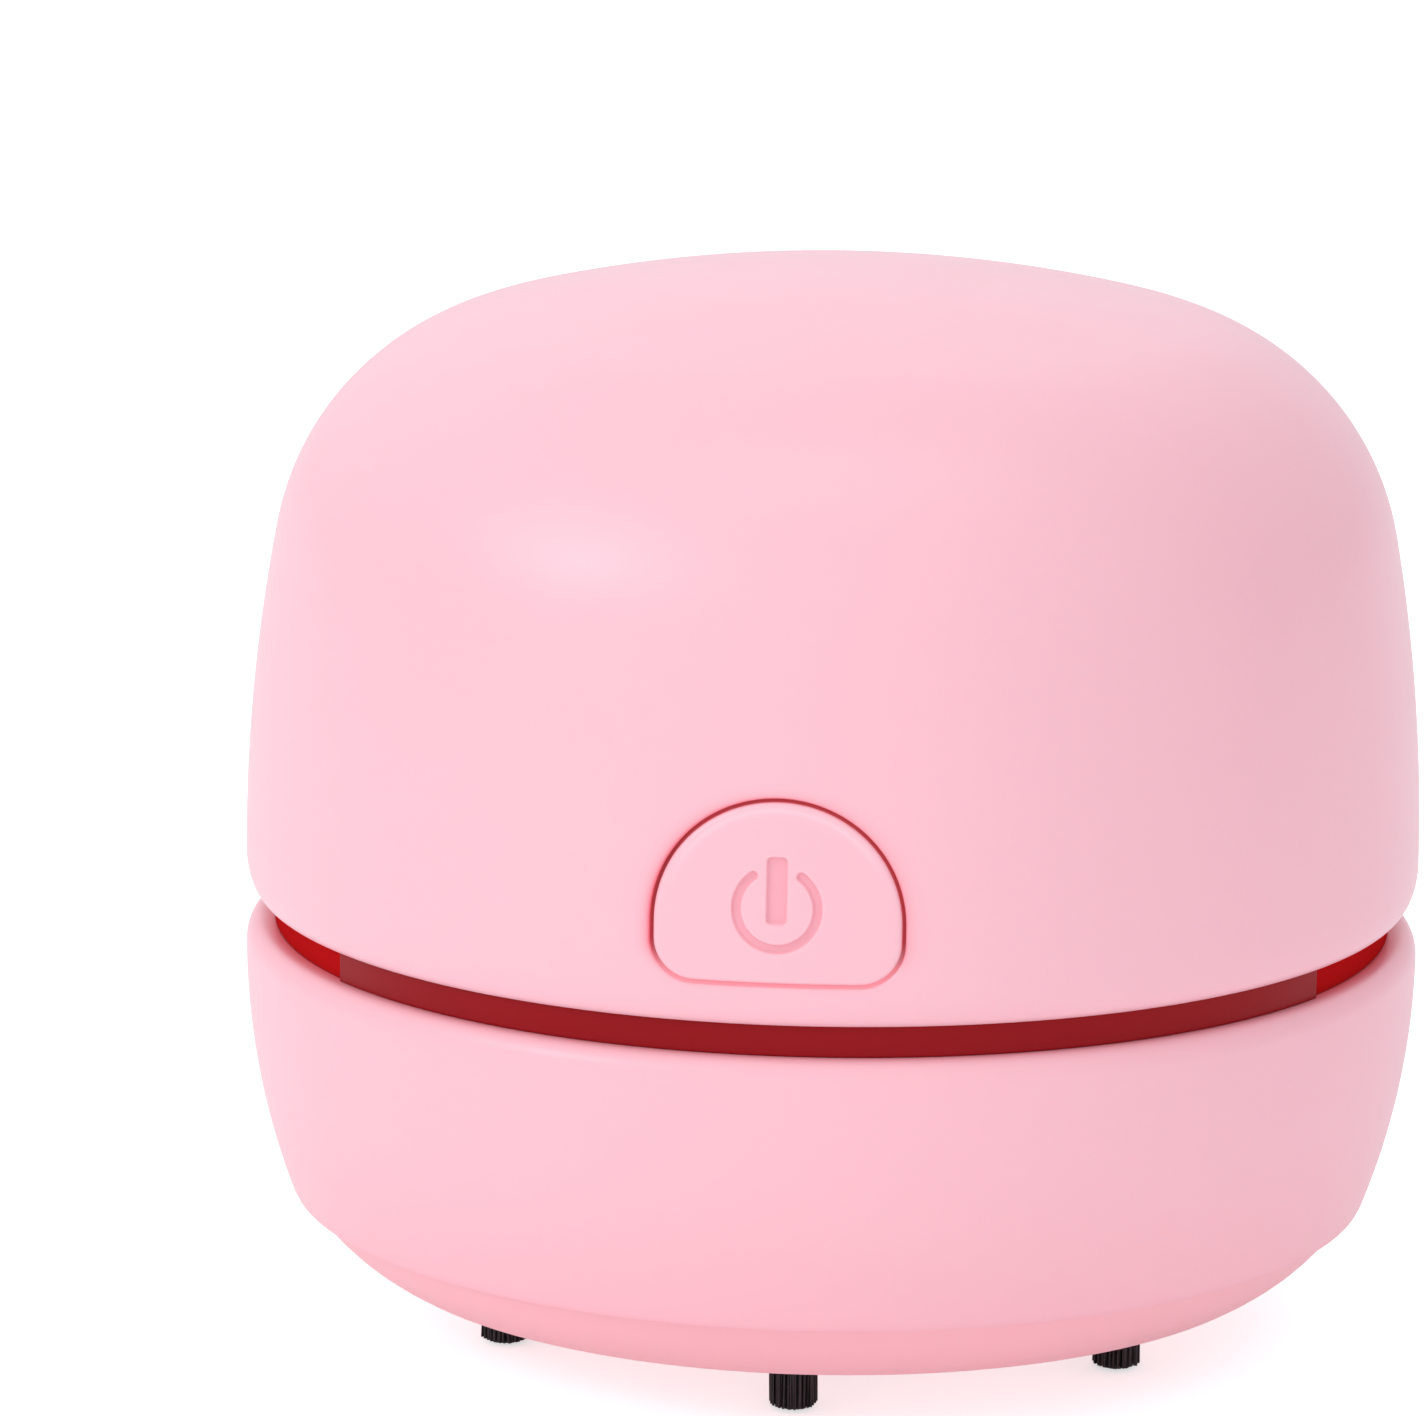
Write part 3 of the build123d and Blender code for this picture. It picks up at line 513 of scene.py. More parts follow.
def make_button():
    """The D-shaped button: face flush with the cover, sunk symbol, wall and flange."""
    loft = Loft()
    ways = np.arange(BUTTON_WAYS) * tau / BUTTON_WAYS + pi / 2
    face_edge = outline_reach(-BUTTON_EDGE, ways, SYMBOL_Z)
    last_near = SYMBOL_REACHES[-1]
    reaches = [np.full(BUTTON_WAYS, r) for r in SYMBOL_REACHES]
    for t in np.linspace(0, 1, FACE_RINGS + 1)[1:]:
        reaches.append(last_near + (face_edge - last_near) * t)
    centre = loft.row([face_point(0.0, SYMBOL_Z)])[0]
    rows = []
    for reach in reaches:
        places = [(r * cos(w), SYMBOL_Z + r * sin(w)) for r, w in zip(reach, ways)]
        rows.append(loft.row(face_point(x, z) for x, z in places))
    loft.cap(rows[0], centre)
    for low, high in zip(rows, rows[1:]):
        loft.bridge(low, high)
    last = rounded_edge(loft, rows[-1], ways, SYMBOL_Z, -BUTTON_EDGE, 0.0)
    for grow, y in ((0.0, FLANGE_FRONT), (FLANGE_GROW, FLANGE_FRONT), (FLANGE_GROW, FLANGE_BACK)):
        ring = flat_ring(loft, outline_reach(grow, ways, SYMBOL_Z), ways, SYMBOL_Z, y)
        loft.bridge(last, ring, mark=1)
        last = ring
    behind = loft.row([(0.0, FLANGE_BACK, SYMBOL_Z)])[0]
    loft.cap(last[::-1], behind)
    made = loft.build("button_cap")
    weld(made)
    sharpen(made, 50)
    shade_button(made)
    return made


def shade_button(made):
    """The symbol's floor in painted shade, and a painted highlight line inside the face's upper
    edge.
    """
    x, y, z = vertex_places(made)
    # the sunk symbol's floor, painted darker as shade
    shade_by(made, "sunk", np.where(y < FLANGE_FRONT - MM, symbol_depth(x, z), 0.0))
    # how far the gap's walls turn from their darker painted tones to the paler painted lit ones
    shade_by(made, "low", low_share(z))
    # a painted highlight along the face's upper edge, strongest towards the top
    from_line = np.abs(outline_distance(x, z) + HIGHLIGHT_IN)
    upper = smooth_step(z, BUTTON_Z + HIGHLIGHT_RISE, HIGHLIGHT_RISE_FADE)
    shade_by(made, "rim", HIGHLIGHT_SHARE * upper * np.exp(-from_line / HIGHLIGHT_FADE))


# ---- dust box ---------------------------------------------------------------------------

BOWL_COLUMNS = 288
# Painted red light reflected from the red ring onto the bowl's lip:
PAINTED_BOUNCE_SHARE = 0.9
PAINTED_BOUNCE_FADE = 0.60 * MM
# The gap's paler tone is painted light, where light reaches the gap's foot:
MOUTH_LOW = 0.6  # how far the mouth's wall takes the paler tone of the button's foot
# Painted shade in the crease over the bowl's foot:
CREASE_SHADE_FADE = 0.25 * MM
# Painted warm bounce light from below, deepening the pink towards the foot:
BOUNCE_BELOW_SHARE = 0.6
BOUNCE_BELOW_RISE = 5.5 * MM
BOUNCE_BELOW_FADE = 13.0 * MM


def bowl_turn(height, radius):
    """The angle at which an arc about the bowl's centre is at a height."""
    return -asin((BOWL_EQUATOR - height) / radius)


def make_bowl():
    """The dust box: a bowl open at both ends, with a rounded lip and a crisp foot."""
    start = bowl_radius(FOOT)
    profile = [(start - 2 * FOOT_EDGE, FOOT), (start - 0.4 * FOOT_EDGE, FOOT)]
    outer = arc(BOWL_CENTRE, BOWL_R, BOWL_R, bowl_turn(FOOT, BOWL_R), 0, 48)
    profile += [p for p in outer if p[1] > FOOT + FOOT_EDGE]
    lip_centre = (BODY_R - LIP_DEPTH, BOWL_EQUATOR)
    profile += arc(lip_centre, LIP_DEPTH, BOX_LIP_RISE, 0, pi / 2, 14)
    profile += [(MOUTH_R + MOUTH_BEVEL, BOX_LIP), (MOUTH_R, BOX_LIP - MOUTH_BEVEL)]
    mouth_rows = (len(profile) - 2, len(profile) - 1)
    inside = BOX_LIP - MOUTH_DEPTH
    profile += [(MOUTH_R, inside), (bowl_radius(inside, WALL), inside)]
    inner_r = BOWL_R - WALL
    ends = bowl_turn(inside, inner_r), bowl_turn(FOOT, inner_r)
    profile += arc(BOWL_CENTRE, inner_r, inner_r, *ends, 24)
    loft = Loft()
    angles = [tau * i / BOWL_COLUMNS for i in range(BOWL_COLUMNS)]
    rows = [loft.turned_row(radius, height, angles) for radius, height in profile]
    for k, (low, high) in enumerate(zip(rows, rows[1:] + rows[:1])):
        loft.bridge(low, high, mark=int(k in mouth_rows))
    made = loft.build("dust_bowl")
    weld(made)
    sharpen(made, 40)
    shade_bowl(made)
    return made


def shade_bowl(made):
    """Painted red bounce from the ring round the mouth, painted crease shade over the foot, and a
    deeper tone below painted as warm bounce light.
    """
    x, y, z = vertex_places(made)
    out = np.hypot(x, y)
    away = np.hypot(out - MOUTH_R, z - BOX_LIP)
    # painted red light reflected from the red ring, fading away from the mouth
    shade_by(made, "glow", PAINTED_BOUNCE_SHARE * np.exp(-away / PAINTED_BOUNCE_FADE))
    shade_by(made, "low", np.full(len(z), MOUTH_LOW))
    # painted shade in the crease just above the foot
    above = np.where(out > bowl_radius(FOOT) - MM, z - FOOT, 1.0)
    shade_by(made, "painted_crease_shade", np.exp(-np.maximum(above, 0) / CREASE_SHADE_FADE))
    # painted warm bounce light from below, stronger towards the foot
    shade_by(made, "painted_bounce_below", BOUNCE_BELOW_SHARE * (1 - smooth_step(z, FOOT + BOUNCE_BELOW_RISE, BOUNCE_BELOW_FADE)))


# ---- bristles ---------------------------------------------------------------------------

TUFT_COUNT = 6
TUFT_CIRCLE = 25.8 * MM
TUFT_R = 1.62 * MM
TUFT_FLARE = 1.06
TUFT_ROOT = PLATE_UNDER + 1.2 * MM
TUFT_CROWN = 0.45 * MM  # the outer bristles are cut this much shorter
BRISTLES = 190
BRISTLE_R = 0.085 * MM
BRISTLE_SIDES = 5
BRISTLE_STEPS = 4
BRISTLE_STRAY = 0.04 * MM
BRISTLE_BOW = 0.03 * MM
BRISTLE_RAGGED = 0.05 * MM
GOLDEN = pi * (3 - sqrt(5))


def add_bristle(loft, root, tip, bow, cut):
    """One bristle from its socket to its cut tip, slightly bowed."""
    last = None
    for k in range(BRISTLE_STEPS + 1):
        t = k / BRISTLE_STEPS
        middle = root.lerp(tip, t) + bow * (4 * t * (1 - t))
        height = TUFT_ROOT + (cut - TUFT_ROOT) * t
        turns = [tau * s / BRISTLE_SIDES for s in range(BRISTLE_SIDES)]
        ring = loft.row(
            (middle.x + BRISTLE_R * cos(a), middle.y + BRISTLE_R * sin(a), height) for a in turns
        )
        if last:
            loft.bridge(last, ring)
        last = ring
    loft.face(last)


def make_tufts():
    """Six bunches of trimmed bristles, packed in a sunflower pattern."""
    draw = random.Random(7)
    loft = Loft()
    for k in range(TUFT_COUNT):
        azimuth = tau * k / TUFT_COUNT
        centre = Vector((TUFT_CIRCLE * sin(azimuth), -TUFT_CIRCLE * cos(azimuth)))
        for b in range(BRISTLES):
            reach = TUFT_R * sqrt((b + 0.5) / BRISTLES)
            way = b * GOLDEN + k
            spot = Vector((cos(way), sin(way))) * reach
            stray = Vector((draw.gauss(0, 1), draw.gauss(0, 1))) * BRISTLE_STRAY
            bow = Vector((draw.gauss(0, 1), draw.gauss(0, 1))) * BRISTLE_BOW
            tip = centre + spot * TUFT_FLARE + stray
            crown = TUFT_CROWN * (reach / TUFT_R) ** 2
            cut = TUFT_TIPS + crown + abs(draw.gauss(0, 1)) * BRISTLE_RAGGED
            add_bristle(loft, centre + spot, tip, bow, cut)
    made = loft.build("bristles")
    sharpen(made, 60)
    return made


# ---- finishes ---------------------------------------------------------------------------


def srgb(red, green, blue):
    """A colour as it shows on screen, made linear."""
    def linear(v):
        v = v / 255
        return v / 12.92 if v <= 0.04045 else ((v + 0.055) / 1.055) ** 2.4

    return (linear(red), linear(green), linear(blue), 1.0)


EDGE = 0.12 * MM  # how far moulded and metal edges look rounded
PINK = srgb(252, 194, 204)
PINK_LOW = srgb(252, 193, 203)
# Painted warm bounce light on the bowl's lower part
PINK_BOUNCE_BELOW = srgb(250, 185, 194)
# Painted shade: the downward-facing base plate's pink made darker and deeper than the shells'
PLATE_SHADE_PINK = srgb(251, 184, 192)
# Painted highlight line on the button's face
PINK_PAINTED_HIGHLIGHT = srgb(254, 214, 222)
# Painted shade on the sunk symbol's floor
SYMBOL_SHADE_PINK = srgb(248, 175, 187)
# Painted shade in the crease over the bowl's foot
PINK_CREASE_SHADE = srgb(246, 180, 190)
# Painted shade and painted glow on the walls of the narrow gaps, paler at the gap's foot where
# light reaches
GAP_SHADE_PINK = srgb(190, 100, 108)
GAP_LIT_PINK = srgb(232, 174, 184)
GAP_PAINTED_GLOW = srgb(118, 44, 50)
GAP_PAINTED_GLOW_LIT = srgb(134, 104, 110)
# Painted red glow on the cover round the button's gap
RED_PAINTED_GLOW = srgb(252, 108, 126)
# Painted red light on the bowl's lip, reflected from the red ring
RED_PAINTED_BOUNCE = srgb(236, 106, 120)
RED_BAND = srgb(147, 13, 21)
RED_SCREEN = srgb(184, 24, 26)

# Colour, roughness, spread of tone, scale of the grain and its depth
PLASTICS = {
    "seal_rubber": (srgb(38, 38, 40), 0.62, 0.1),
    "filter_white": (srgb(232, 230, 226), 0.45, 0.02),
    "impeller_white": (srgb(222, 226, 230), 0.4, 0.02),
    "tray_white": (srgb(236, 235, 230), 0.46, 0.02),
    "end_cap_white": (srgb(226, 222, 208), 0.5, 0.03),
    "plunger_white": (srgb(238, 238, 238), 0.4, 0.02),
    "switch_black": (srgb(34, 34, 36), 0.45, 0.1),
    "ferrite": (srgb(52, 52, 54), 0.6, 0.15, 1500.0, 8e-6),
    "lead_red": (srgb(196, 26, 30), 0.4, 0.06),
    "lead_black": (srgb(28, 28, 30), 0.42, 0.1),
}

# Colour, roughness, scale of the lines along each axis and their depth
METALS = {
    "steel": (srgb(188, 190, 194), 0.32),
    "screw_steel": (srgb(172, 174, 178), 0.36, (900, 900, 900)),
    "contact_steel": (srgb(200, 200, 197), 0.32, (260, 900, 260), 3e-7),
    "brass": (srgb(214, 178, 104), 0.32),
    "bronze": (srgb(150, 118, 74), 0.5, (1500, 1500, 1500), 4e-6),
}


class Surface:
    """A Principled material on object coordinates, with shared pattern nodes."""

    def __init__(self, name, roughness=0.5, metallic=0.0, edge=0.0, **sockets):
        self.edge = edge
        self.material = bpy.data.materials.new(name)
        self.material.use_nodes = True
        self.tree = self.material.node_tree
        self.shader = self.tree.nodes["Principled BSDF"]
        self.shader.inputs["Roughness"].default_value = roughness
        self.shader.inputs["Metallic"].default_value = metallic
        for socket, value in sockets.items():
            self.shader.inputs[socket.replace("_", " ")].default_value = value
        self.place = self.node("ShaderNodeTexCoord").outputs["Object"]

    def set(self, socket, value):
        """Links a pattern to a node's socket, or sets a constant on it."""
        if isinstance(value, bpy.types.NodeSocket):
            self.tree.links.new(value, socket)
        else:
            socket.default_value = value

    def node(self, kind, **inputs):
        made = self.tree.nodes.new(kind)
        for key, value in inputs.items():
            self.set(made.inputs[key.replace("_", " ")], value)
        return made

    def link(self, source, socket):
        self.tree.links.new(source, self.shader.inputs[socket])

    def scaled(self, scale):
        """The object coordinates stretched by a scale along each axis."""
        return self.node("ShaderNodeMapping", Vector=self.place, Scale=scale).outputs["Vector"]

    def noise(self, scale, detail=2.0, place=None, roughness=0.5):
        made = self.node(
            "ShaderNodeTexNoise",
            Vector=place or self.place,
            Scale=scale,
            Detail=detail,
            Roughness=roughness,
        )
        return made.outputs["Fac"]

    def layer(self, name):
        """A value stored per point by shade_by."""
        made = self.node("ShaderNodeAttribute")
        made.attribute_name = name
        return made.outputs["Fac"]

    def over(self, share, low, high):
        """One colour blended towards another by a share."""
        made = self.node("ShaderNodeMix", Factor=share)
        made.data_type = "RGBA"
        self.set(made.inputs[6], low)
        self.set(made.inputs[7], high)
        return made.outputs[2]

    def ramp(self, value, stops, constant=False):
        made = self.node("ShaderNodeValToRGB", Fac=value)
        made.color_ramp.interpolation = "CONSTANT" if constant else "EASE"
        marks = made.color_ramp.elements
        while len(marks) < len(stops):
            marks.new(0.5)
        for mark, (position, colour) in zip(marks, stops):
            mark.position = position
            mark.color = colour
        return made.outputs["Color"]

    def span(self, value, low, high, source_low=0.0, source_high=1.0):
        """A pattern value mapped to a range of numbers."""
        made = self.node(
            "ShaderNodeMapRange",
            Value=value,
            From_Min=source_low,
            From_Max=source_high,
            To_Min=low,
            To_Max=high,
        )
        return made.outputs["Result"]

    def bump(self, height, distance, strength=1.0):
        made = self.node("ShaderNodeBump", Height=height, Distance=distance, Strength=strength)
        if self.edge:
            rounded = self.node("ShaderNodeBevel", Radius=self.edge)
            self.tree.links.new(rounded.outputs["Normal"], made.inputs["Normal"])
        self.link(made.outputs["Normal"], "Normal")


def between(low, high):
    """Ramp stops between two tones."""
    return [(0.15, low), (0.85, high)]


def shade(colour, factor):
    return tuple(min(1.0, c * factor) for c in colour[:3]) + (1.0,)


def moulded(
    name, colour, roughness, variation=0.02, grain=2600.0, depth=2e-6, layers=(), **sockets
):
    """Injection moulded plastic: faint flow tones, uneven gloss and a fine grain.

    Each of layers is a stored value, and the colour that it blends the plastic towards.
    """
    s = Surface(name, roughness, **sockets)
    tones = between(shade(colour, 1 - variation), shade(colour, 1 + variation))
    tone = s.ramp(s.noise(38.0), tones)
    for layer, towards in layers:
        tone = s.over(s.layer(layer), tone, towards)
    s.link(tone, "Base Color")
    s.link(s.span(s.noise(160.0), roughness - 0.04, roughness + 0.04), "Roughness")
    s.bump(s.noise(grain, 1.0), depth)
    return s


def plastic(*given, **sockets):
    return moulded(*given, edge=EDGE, **sockets).material


def glossy_pink(name, colour, roughness, layers=(), edge=0.0):
    """The shells' polished plastic: soft tones, a slow orange peel, light sinks in a little."""
    return moulded(
        name,
        colour,
        roughness,
        variation=0.01,
        grain=140.0,
        layers=layers,
        Subsurface_Weight=0.12,
        Subsurface_Scale=1.2 * MM,
        Subsurface_Radius=(1.0, 0.30, 0.28),
        Specular_IOR_Level=0.44,
        edge=edge,
    ).material


def gap_material():
    """The pink plastic's walls in the narrow gaps: painted dark red shade, and a painted glow for
    light through it.
    """
    s = moulded(
        "gap_shade_and_glow",
        GAP_SHADE_PINK,
        0.5,
        layers=[("low", GAP_LIT_PINK)],
        Subsurface_Weight=0.3,
        Subsurface_Scale=2.0 * MM,
        Subsurface_Radius=(1.0, 0.30, 0.28),
        Emission_Strength=1.0,
    )
    # The emission is a painted glow, no lamp: darker up the gap, paler at its foot
    s.link(s.over(s.layer("low"), GAP_PAINTED_GLOW, GAP_PAINTED_GLOW_LIT), "Emission Color")
    return s.material


def metal(name, colour, roughness, scale=(400, 400, 4000), depth=1.5e-6):
    """Plated or drawn metal with fine lines across its larger scale."""
    s = Surface(name, roughness, 1.0, EDGE)
    lines = s.noise(1.0, place=s.scaled(scale))
    s.link(s.ramp(lines, between(shade(colour, 0.9), shade(colour, 1.06))), "Base Color")
    s.link(s.span(lines, roughness - 0.04, roughness + 0.10), "Roughness")
    s.bump(lines, depth)
    return s.material


def screen_material():
    """A fine red mesh: crossed threads too close to tell apart from arm's length."""
    s = Surface("screen_red", 0.6, Specular_IOR_Level=0.0)
    threads = s.node("ShaderNodeTexVoronoi", Vector=s.scaled((9000, 9000, 9000)), Scale=1.0)
    tones = between(shade(RED_SCREEN, 0.92), shade(RED_SCREEN, 1.06))
    s.link(s.ramp(threads.outputs["Distance"], tones), "Base Color")
    s.bump(threads.outputs["Distance"], 1e-5)
    return s.material


def bristle_material():
    """Black nylon with streaks along each bristle."""
    s = Surface("bristle", 0.42)
    along = s.noise(1.0, place=s.scaled((5000, 5000, 300)))
    s.link(s.ramp(along, between(srgb(16, 13, 15), srgb(52, 44, 47))), "Base Color")
    s.bump(along, 4e-6)
    return s.material


def felt_material():
    """Non-woven felt: short tangled fibres."""
    s = Surface("filter_felt", 0.95, Sheen_Weight=0.3)
    fibres = s.noise(1400.0, 6.0, roughness=0.7)
    s.link(s.ramp(fibres, between(srgb(214, 212, 206), srgb(244, 243, 240))), "Base Color")
    s.bump(fibres, 1.2e-4, 0.8)
    return s.material


def armature_material():
    """Stacked sheets and copper, in fine level lines."""
    s = Surface("armature", 0.5, 0.6)
    stacks = s.noise(1.0, 1.0, s.scaled((10, 10, 5000)))
    s.link(s.ramp(stacks, between(srgb(110, 64, 40), srgb(176, 104, 62))), "Base Color")
    s.bump(stacks, 2e-5)
    return s.material


def board_material():
    """A green circuit board with faint tracks under its mask."""
    s = Surface("board_green", 0.35, Coat_Weight=0.4)
    tracks = s.node(
        "ShaderNodeTexBrick",
        Vector=s.scaled((1000, 1000, 1000)),
        Scale=0.42,
        Mortar_Size=0.09,
        Color1=srgb(22, 104, 62),
        Color2=srgb(24, 112, 66),
        Mortar=srgb(40, 140, 84),
    )
    s.link(tracks.outputs["Color"], "Base Color")
    s.bump(tracks.outputs["Fac"], 2e-5)
    return s.material


def sleeve_material(name, cell, turned_round):
    """A battery: bare steel ends, plain sleeve with one band towards one end."""
    low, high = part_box(cell)
    first, last = (high.y, low.y) if turned_round else (low.y, high.y)
    s = Surface(name, 0.3, Coat_Weight=0.5)
    split = s.node("ShaderNodeSeparateXYZ", Vector=s.place)
    along = s.span(split.outputs["Y"], 0.0, 1.0, first, last)
    steel, sleeve, band = srgb(200, 200, 198), srgb(46, 96, 74), srgb(226, 222, 208)
    stops = [(0.0, steel), (0.045, band), (0.26, sleeve), (0.985, steel)]
    s.link(s.ramp(along, stops, constant=True), "Base Color")
    white, black = (1, 1, 1, 1), (0, 0, 0, 1)
    bare = s.ramp(along, [(0.0, white), (0.045, black), (0.985, white)], constant=True)
    s.link(bare, "Metallic")
    s.link(s.span(s.noise(300.0, 3.0), 0.28, 0.36), "Roughness")
    s.bump(s.noise(2200.0), 1.5e-6)
    return s.material


def make_materials():
    """Every finish, by its name."""
    m = {name: plastic(name, *given) for name, given in PLASTICS.items()}
    m |= {name: metal(name, *given) for name, given in METALS.items()}
    # The cover's painted red glow round the button's gap
    painted_red_glow = [("painted_red_glow", RED_PAINTED_GLOW)]
    # The bowl's painted red bounce, painted crease shade and painted warm bounce from below
    glow = [("painted_bounce_below", PINK_BOUNCE_BELOW), ("glow", RED_PAINTED_BOUNCE), ("painted_crease_shade", PINK_CREASE_SHADE)]
    # The button's painted highlight line and its symbol's painted shade
    mark = [("rim", PINK_PAINTED_HIGHLIGHT), ("sunk", SYMBOL_SHADE_PINK)]
    m["cover_pink"] = glossy_pink("cover_pink", PINK, 0.31, painted_red_glow)
    m["button_pink"] = glossy_pink("button_pink", PINK, 0.31, mark)
    m["box_pink"] = glossy_pink("box_pink", PINK_LOW, 0.33, glow)
    # The base plate in a darker copy of the pink, as painted shade on the downward-facing foot
    m["plate_pink"] = glossy_pink("plate_pink", PLATE_SHADE_PINK, 0.36, edge=EDGE)
    # The narrow gaps' walls: painted shade and painted glow
    m["gap_shade_and_glow"] = gap_material()
    m["chassis_red"] = plastic("chassis_red", RED_BAND, 0.3, 0.05, Specular_IOR_Level=0.12)
    m["screen_red"] = screen_material()
    m["bristle"] = bristle_material()
    m["filter_felt"] = felt_material()
    m["armature"] = armature_material()
    m["board_green"] = board_material()
    m["sleeve_right"] = sleeve_material("sleeve_right", "battery_cell_right", False)
    m["sleeve_left"] = sleeve_material("sleeve_left", "battery_cell_left", True)
    return m


NODE_FINISH = {
    "base_plate": "plate_pink",
    "inlet_duct": "plate_pink",
    "chassis": "chassis_red",
    "exhaust_screen": "screen_red",
    "dust_seal": "seal_rubber",
    "fan_cover": "chassis_red",
    "fan_cover_screws": "screw_steel",
    "filter_frame": "filter_white",
    "filter_pad": "filter_felt",
    "impeller": "impeller_white",
    "motor_shaft": "steel",
    "motor_armature": "armature",
    "motor_can": "steel",
    "motor_end_cap": "end_cap_white",
    "motor_terminals": "brass",
    "motor_bushes": "bronze",
    "motor_magnets": "ferrite",
    "motor_screws": "screw_steel",
    "battery_tray": "tray_white",
    "tray_screws": "screw_steel",
    "battery_cell_left": "sleeve_left",
    "battery_cell_right": "sleeve_right",
    "battery_plates": "contact_steel",
    "battery_springs": "contact_steel",
    "switch_board": "board_green",
    "switch_body": "switch_black",
    "switch_plunger": "plunger_white",
    "lead_red": "lead_red",
    "lead_switch": "lead_red",
    "lead_black": "lead_black",
    "top_cover": "cover_pink",
    "power_button": "button_pink",
    "dust_box": "box_pink",
    "bristle_tufts": "bristle",
}


def dress_nodes(materials):
    """Gives every carried-over CAD node its own finish."""
    for name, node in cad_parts.items():
        slots = node.data.materials
        slots.clear()
        slots.append(materials[NODE_FINISH[name]])


# ---- camera -----------------------------------------------------------------------------

PHOTO = (1425, 1416)
SENSOR = 36.0
FOCAL_PX = 7463.0
CAMERA_AZIMUTH = radians(4.94)
CAMERA_RISE = radians(13.646)
CAMERA_ROLL = radians(-0.855)
CAMERA_DISTANCE = 0.550
AIM_PX = (831.4, 882.3)  # where the middle of the cover's lip plane shows


def direction(azimuth, rise):
    """A unit vector at an azimuth from the button and a rise from the floor."""
    return Vector((sin(azimuth) * cos(rise), -cos(azimuth) * cos(rise), sin(rise)))


def make_camera():
    """The fitted camera: aimed so that the middle of the cover's lip plane is at AIM_PX."""
    target = Vector((0, 0, COVER_LIP))
    out = direction(CAMERA_AZIMUTH, CAMERA_RISE)
    forward = -out
    right = forward.cross(Vector((0, 0, 1))).normalized()
    level = Matrix((right, right.cross(forward), forward))
    across = (AIM_PX[0] - PHOTO[0] / 2) / FOCAL_PX
    down = (AIM_PX[1] - PHOTO[1] / 2) / FOCAL_PX
    seen = Vector((across, -down, 1.0)).normalized()
    swing = Vector((0, 0, 1)).rotation_difference(seen).to_matrix()
    rows = swing @ Matrix.Rotation(CAMERA_ROLL, 3, "Z") @ level
    axes = Matrix((rows[0], rows[1], -rows[2])).transposed()
    data = bpy.data.cameras.new("camera")
    data.sensor_fit = "HORIZONTAL"
    data.sensor_width = SENSOR
    data.lens = FOCAL_PX / PHOTO[0] * SENSOR
    data.clip_start = 0.01
    data.clip_end = 20.0
    camera = bpy.data.objects.new("camera", data)
    camera.matrix_world = Matrix.Translation(target + out * CAMERA_DISTANCE) @ axes.to_4x4()
    bpy.context.scene.collection.objects.link(camera)
    bpy.context.scene.camera = camera


# ---- lamps, room and floor --------------------------------------------------------------

# Softboxes: name, azimuth from the camera's side, rise, distance, width, height and power
LAMPS = [
    ("key", -56, 29, 0.75, 0.24, 0.13, 0.35),
    ("key_glow", -58, 31, 0.75, 0.60, 0.38, 0.82),
    ("overhead", 6, 75, 0.70, 0.65, 0.42, 0.58),
]
ROOM_COLOUR = (0.96, 0.95, 1.0, 1.0)
ROOM_STRENGTH = 0.226
# Broad soft swells: azimuth from the camera's side, rise and strength
ROOM_SWELLS = [(0, 90, 0.37), (-172, 15, 0.69), (0, 5, 0.68)]

FLOOR_R = 3.0
FLOOR_SIDES = 64
FLOOR_GLOW = 0.18  # a faint light of its own, as a lit table top has
FLOOR_LIFT = 0.05 * MM  # keeps the lowered dust box's lip from lying in the floor
FLOOR_WHITE = 0.45  # added where the camera looks at it


def seen_from(azimuth, rise):
    """A direction in degrees, its azimuth from the camera's side."""
    return direction(CAMERA_AZIMUTH + radians(azimuth), radians(rise))


def add_lamp(name, azimuth, rise, distance, width, height, power):
    """A softbox aimed at the object's middle."""
    data = bpy.data.lights.new(name, "AREA")
    data.shape = "ELLIPSE"
    data.size = width
    data.size_y = height
    data.energy = power
    made = bpy.data.objects.new(name, data)
    out = seen_from(azimuth, rise)
    made.location = out * distance + Vector((0, 0, (CROWN + FOOT) / 2))
    made.rotation_euler = out.to_track_quat("Z", "Y").to_euler()
    bpy.context.scene.collection.objects.link(made)


def room_strength(tree):
    """The pale room's brightness: even, with swells towards some directions."""
    place = tree.nodes.new("ShaderNodeTexCoord").outputs["Generated"]
    total = None
    for azimuth, rise, strength in ROOM_SWELLS:
        towards = tree.nodes.new("ShaderNodeVectorMath")
        towards.operation = "DOT_PRODUCT"
        tree.links.new(place, towards.inputs[0])
        towards.inputs[1].default_value = seen_from(azimuth, rise)
        ahead = tree.nodes.new("ShaderNodeMath")
        ahead.operation = "MAXIMUM"
        ahead.inputs[1].default_value = 0.0
        tree.links.new(towards.outputs["Value"], ahead.inputs[0])
        swell = tree.nodes.new("ShaderNodeMath")
        swell.operation = "MULTIPLY_ADD"
        swell.inputs[1].default_value = strength
        tree.links.new(ahead.outputs[0], swell.inputs[0])
        if total is None:
            swell.inputs[2].default_value = ROOM_STRENGTH
        else:
            tree.links.new(total, swell.inputs[2])
        total = swell.outputs[0]
    return total


def make_room():
    """A pale room for the object, and plain white behind it for the camera."""
    world = bpy.data.worlds.new("studio")
    world.use_nodes = True
    bpy.context.scene.world = world
    tree = world.node_tree
    tree.nodes.clear()
    room = tree.nodes.new("ShaderNodeBackground")
    room.inputs["Color"].default_value = ROOM_COLOUR
    tree.links.new(room_strength(tree), room.inputs["Strength"])
    white = tree.nodes.new("ShaderNodeBackground")
    white.inputs["Color"].default_value = (1.0, 1.0, 1.0, 1.0)
    path = tree.nodes.new("ShaderNodeLightPath")
    mix = tree.nodes.new("ShaderNodeMixShader")
    tree.links.new(path.outputs["Is Camera Ray"], mix.inputs["Fac"])
    tree.links.new(room.outputs[0], mix.inputs[1])
    tree.links.new(white.outputs[0], mix.inputs[2])
    out = tree.nodes.new("ShaderNodeOutputWorld")
    tree.links.new(mix.outputs[0], out.inputs["Surface"])


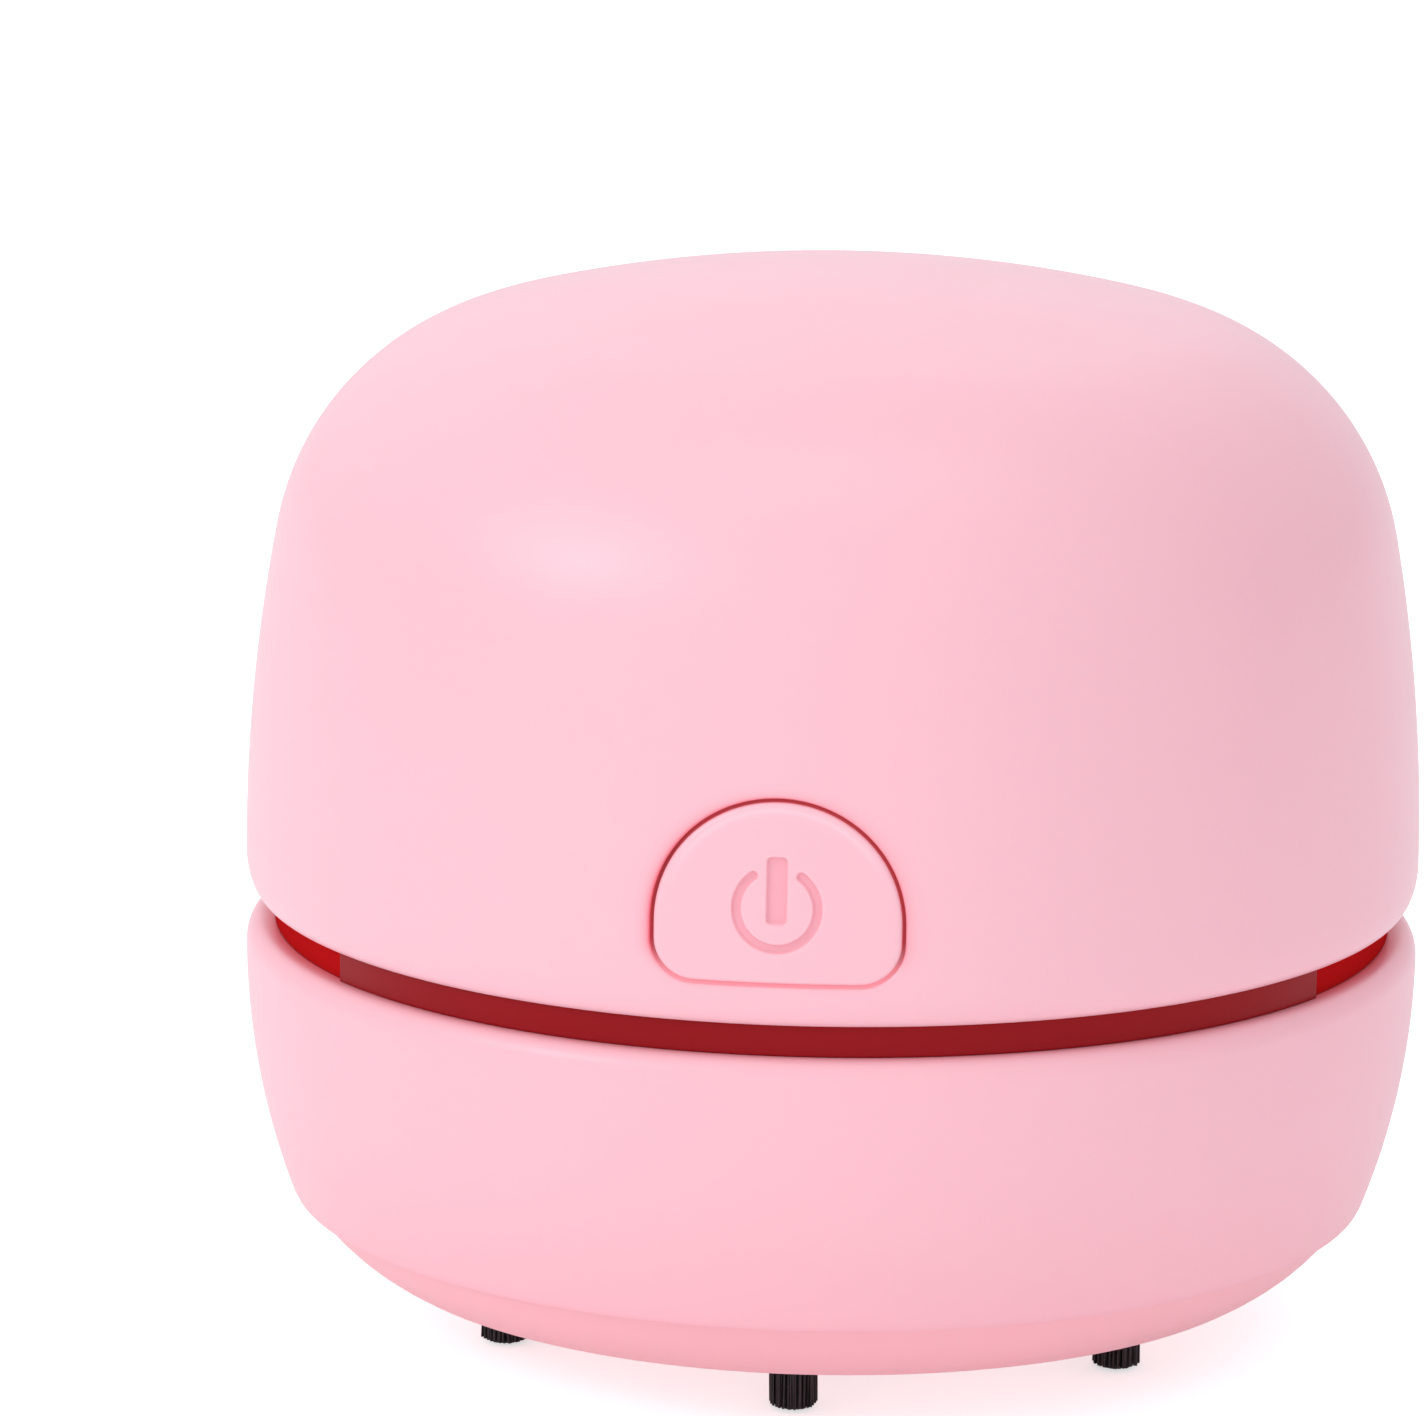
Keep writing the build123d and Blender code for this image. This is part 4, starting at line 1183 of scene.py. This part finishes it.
def floor_material():
    """Matt white. The camera sees it whiter from above, and not at all from underneath."""
    s = Surface("floor", 0.9, Specular_IOR_Level=0.1)
    tones = between((0.86, 0.86, 0.87, 1), (0.88, 0.88, 0.89, 1))
    s.link(s.ramp(s.noise(6.0), tones), "Base Color")
    s.bump(s.noise(900.0, 3.0), 2e-5)
    camera_ray = s.node("ShaderNodeLightPath").outputs["Is Camera Ray"]
    strength = s.node("ShaderNodeMath")
    strength.operation = "MULTIPLY_ADD"
    s.set(strength.inputs[0], camera_ray)
    s.set(strength.inputs[1], FLOOR_WHITE)
    s.set(strength.inputs[2], FLOOR_GLOW)
    glow = s.node("ShaderNodeEmission", Strength=strength.outputs[0])
    lit = s.node("ShaderNodeAddShader")
    s.set(lit.inputs[0], s.shader.outputs[0])
    s.set(lit.inputs[1], glow.outputs[0])
    below = s.node("ShaderNodeMath")
    below.operation = "MULTIPLY"
    s.set(below.inputs[0], camera_ray)
    s.set(below.inputs[1], s.node("ShaderNodeNewGeometry").outputs["Backfacing"])
    either = s.node("ShaderNodeMixShader", Fac=below.outputs[0])
    s.set(either.inputs[1], lit.outputs[0])
    s.set(either.inputs[2], s.node("ShaderNodeBsdfTransparent").outputs[0])
    s.set(s.tree.nodes["Material Output"].inputs["Surface"], either.outputs[0])
    return s.material


def make_floor():
    """A plain floor that keeps a soft shadow under the object."""
    loft = Loft()
    level = TUFT_TIPS + FLOOR_LIFT
    centre = loft.row([(0, 0, level)])[0]
    angles = [tau * i / FLOOR_SIDES for i in range(FLOOR_SIDES)]
    loft.cap(loft.turned_row(FLOOR_R, level, angles), centre)
    floor = loft.build("floor")
    weld(floor)
    floor.data.materials.append(floor_material())


# ---- assembly ---------------------------------------------------------------------------

bpy.context.scene.view_settings.view_transform = "Standard"
make_camera()
for given in LAMPS:
    add_lamp(*given)
make_room()
make_floor()
materials = make_materials()
dress_nodes(materials)

# How each piece is made, its body, slot and finishes, and the node that it stands for
PIECES = [
    (make_cover, "cover", "cover_pink", ["cover_pink", "gap_shade_and_glow"], "top_cover"),
    (make_button, "button", "button_pink", ["button_pink", "gap_shade_and_glow"], "power_button"),
    (make_bowl, "dust_box", "box_pink", ["box_pink", "gap_shade_and_glow"], "dust_box"),
    (make_tufts, "dust_box", "bristle", ["bristle"], "bristle_tufts"),
]
for make, body, slot, finishes, node in PIECES:
    made = make()
    for finish in finishes:
        made.data.materials.append(materials[finish])
    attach(made, body)
    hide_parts(node)
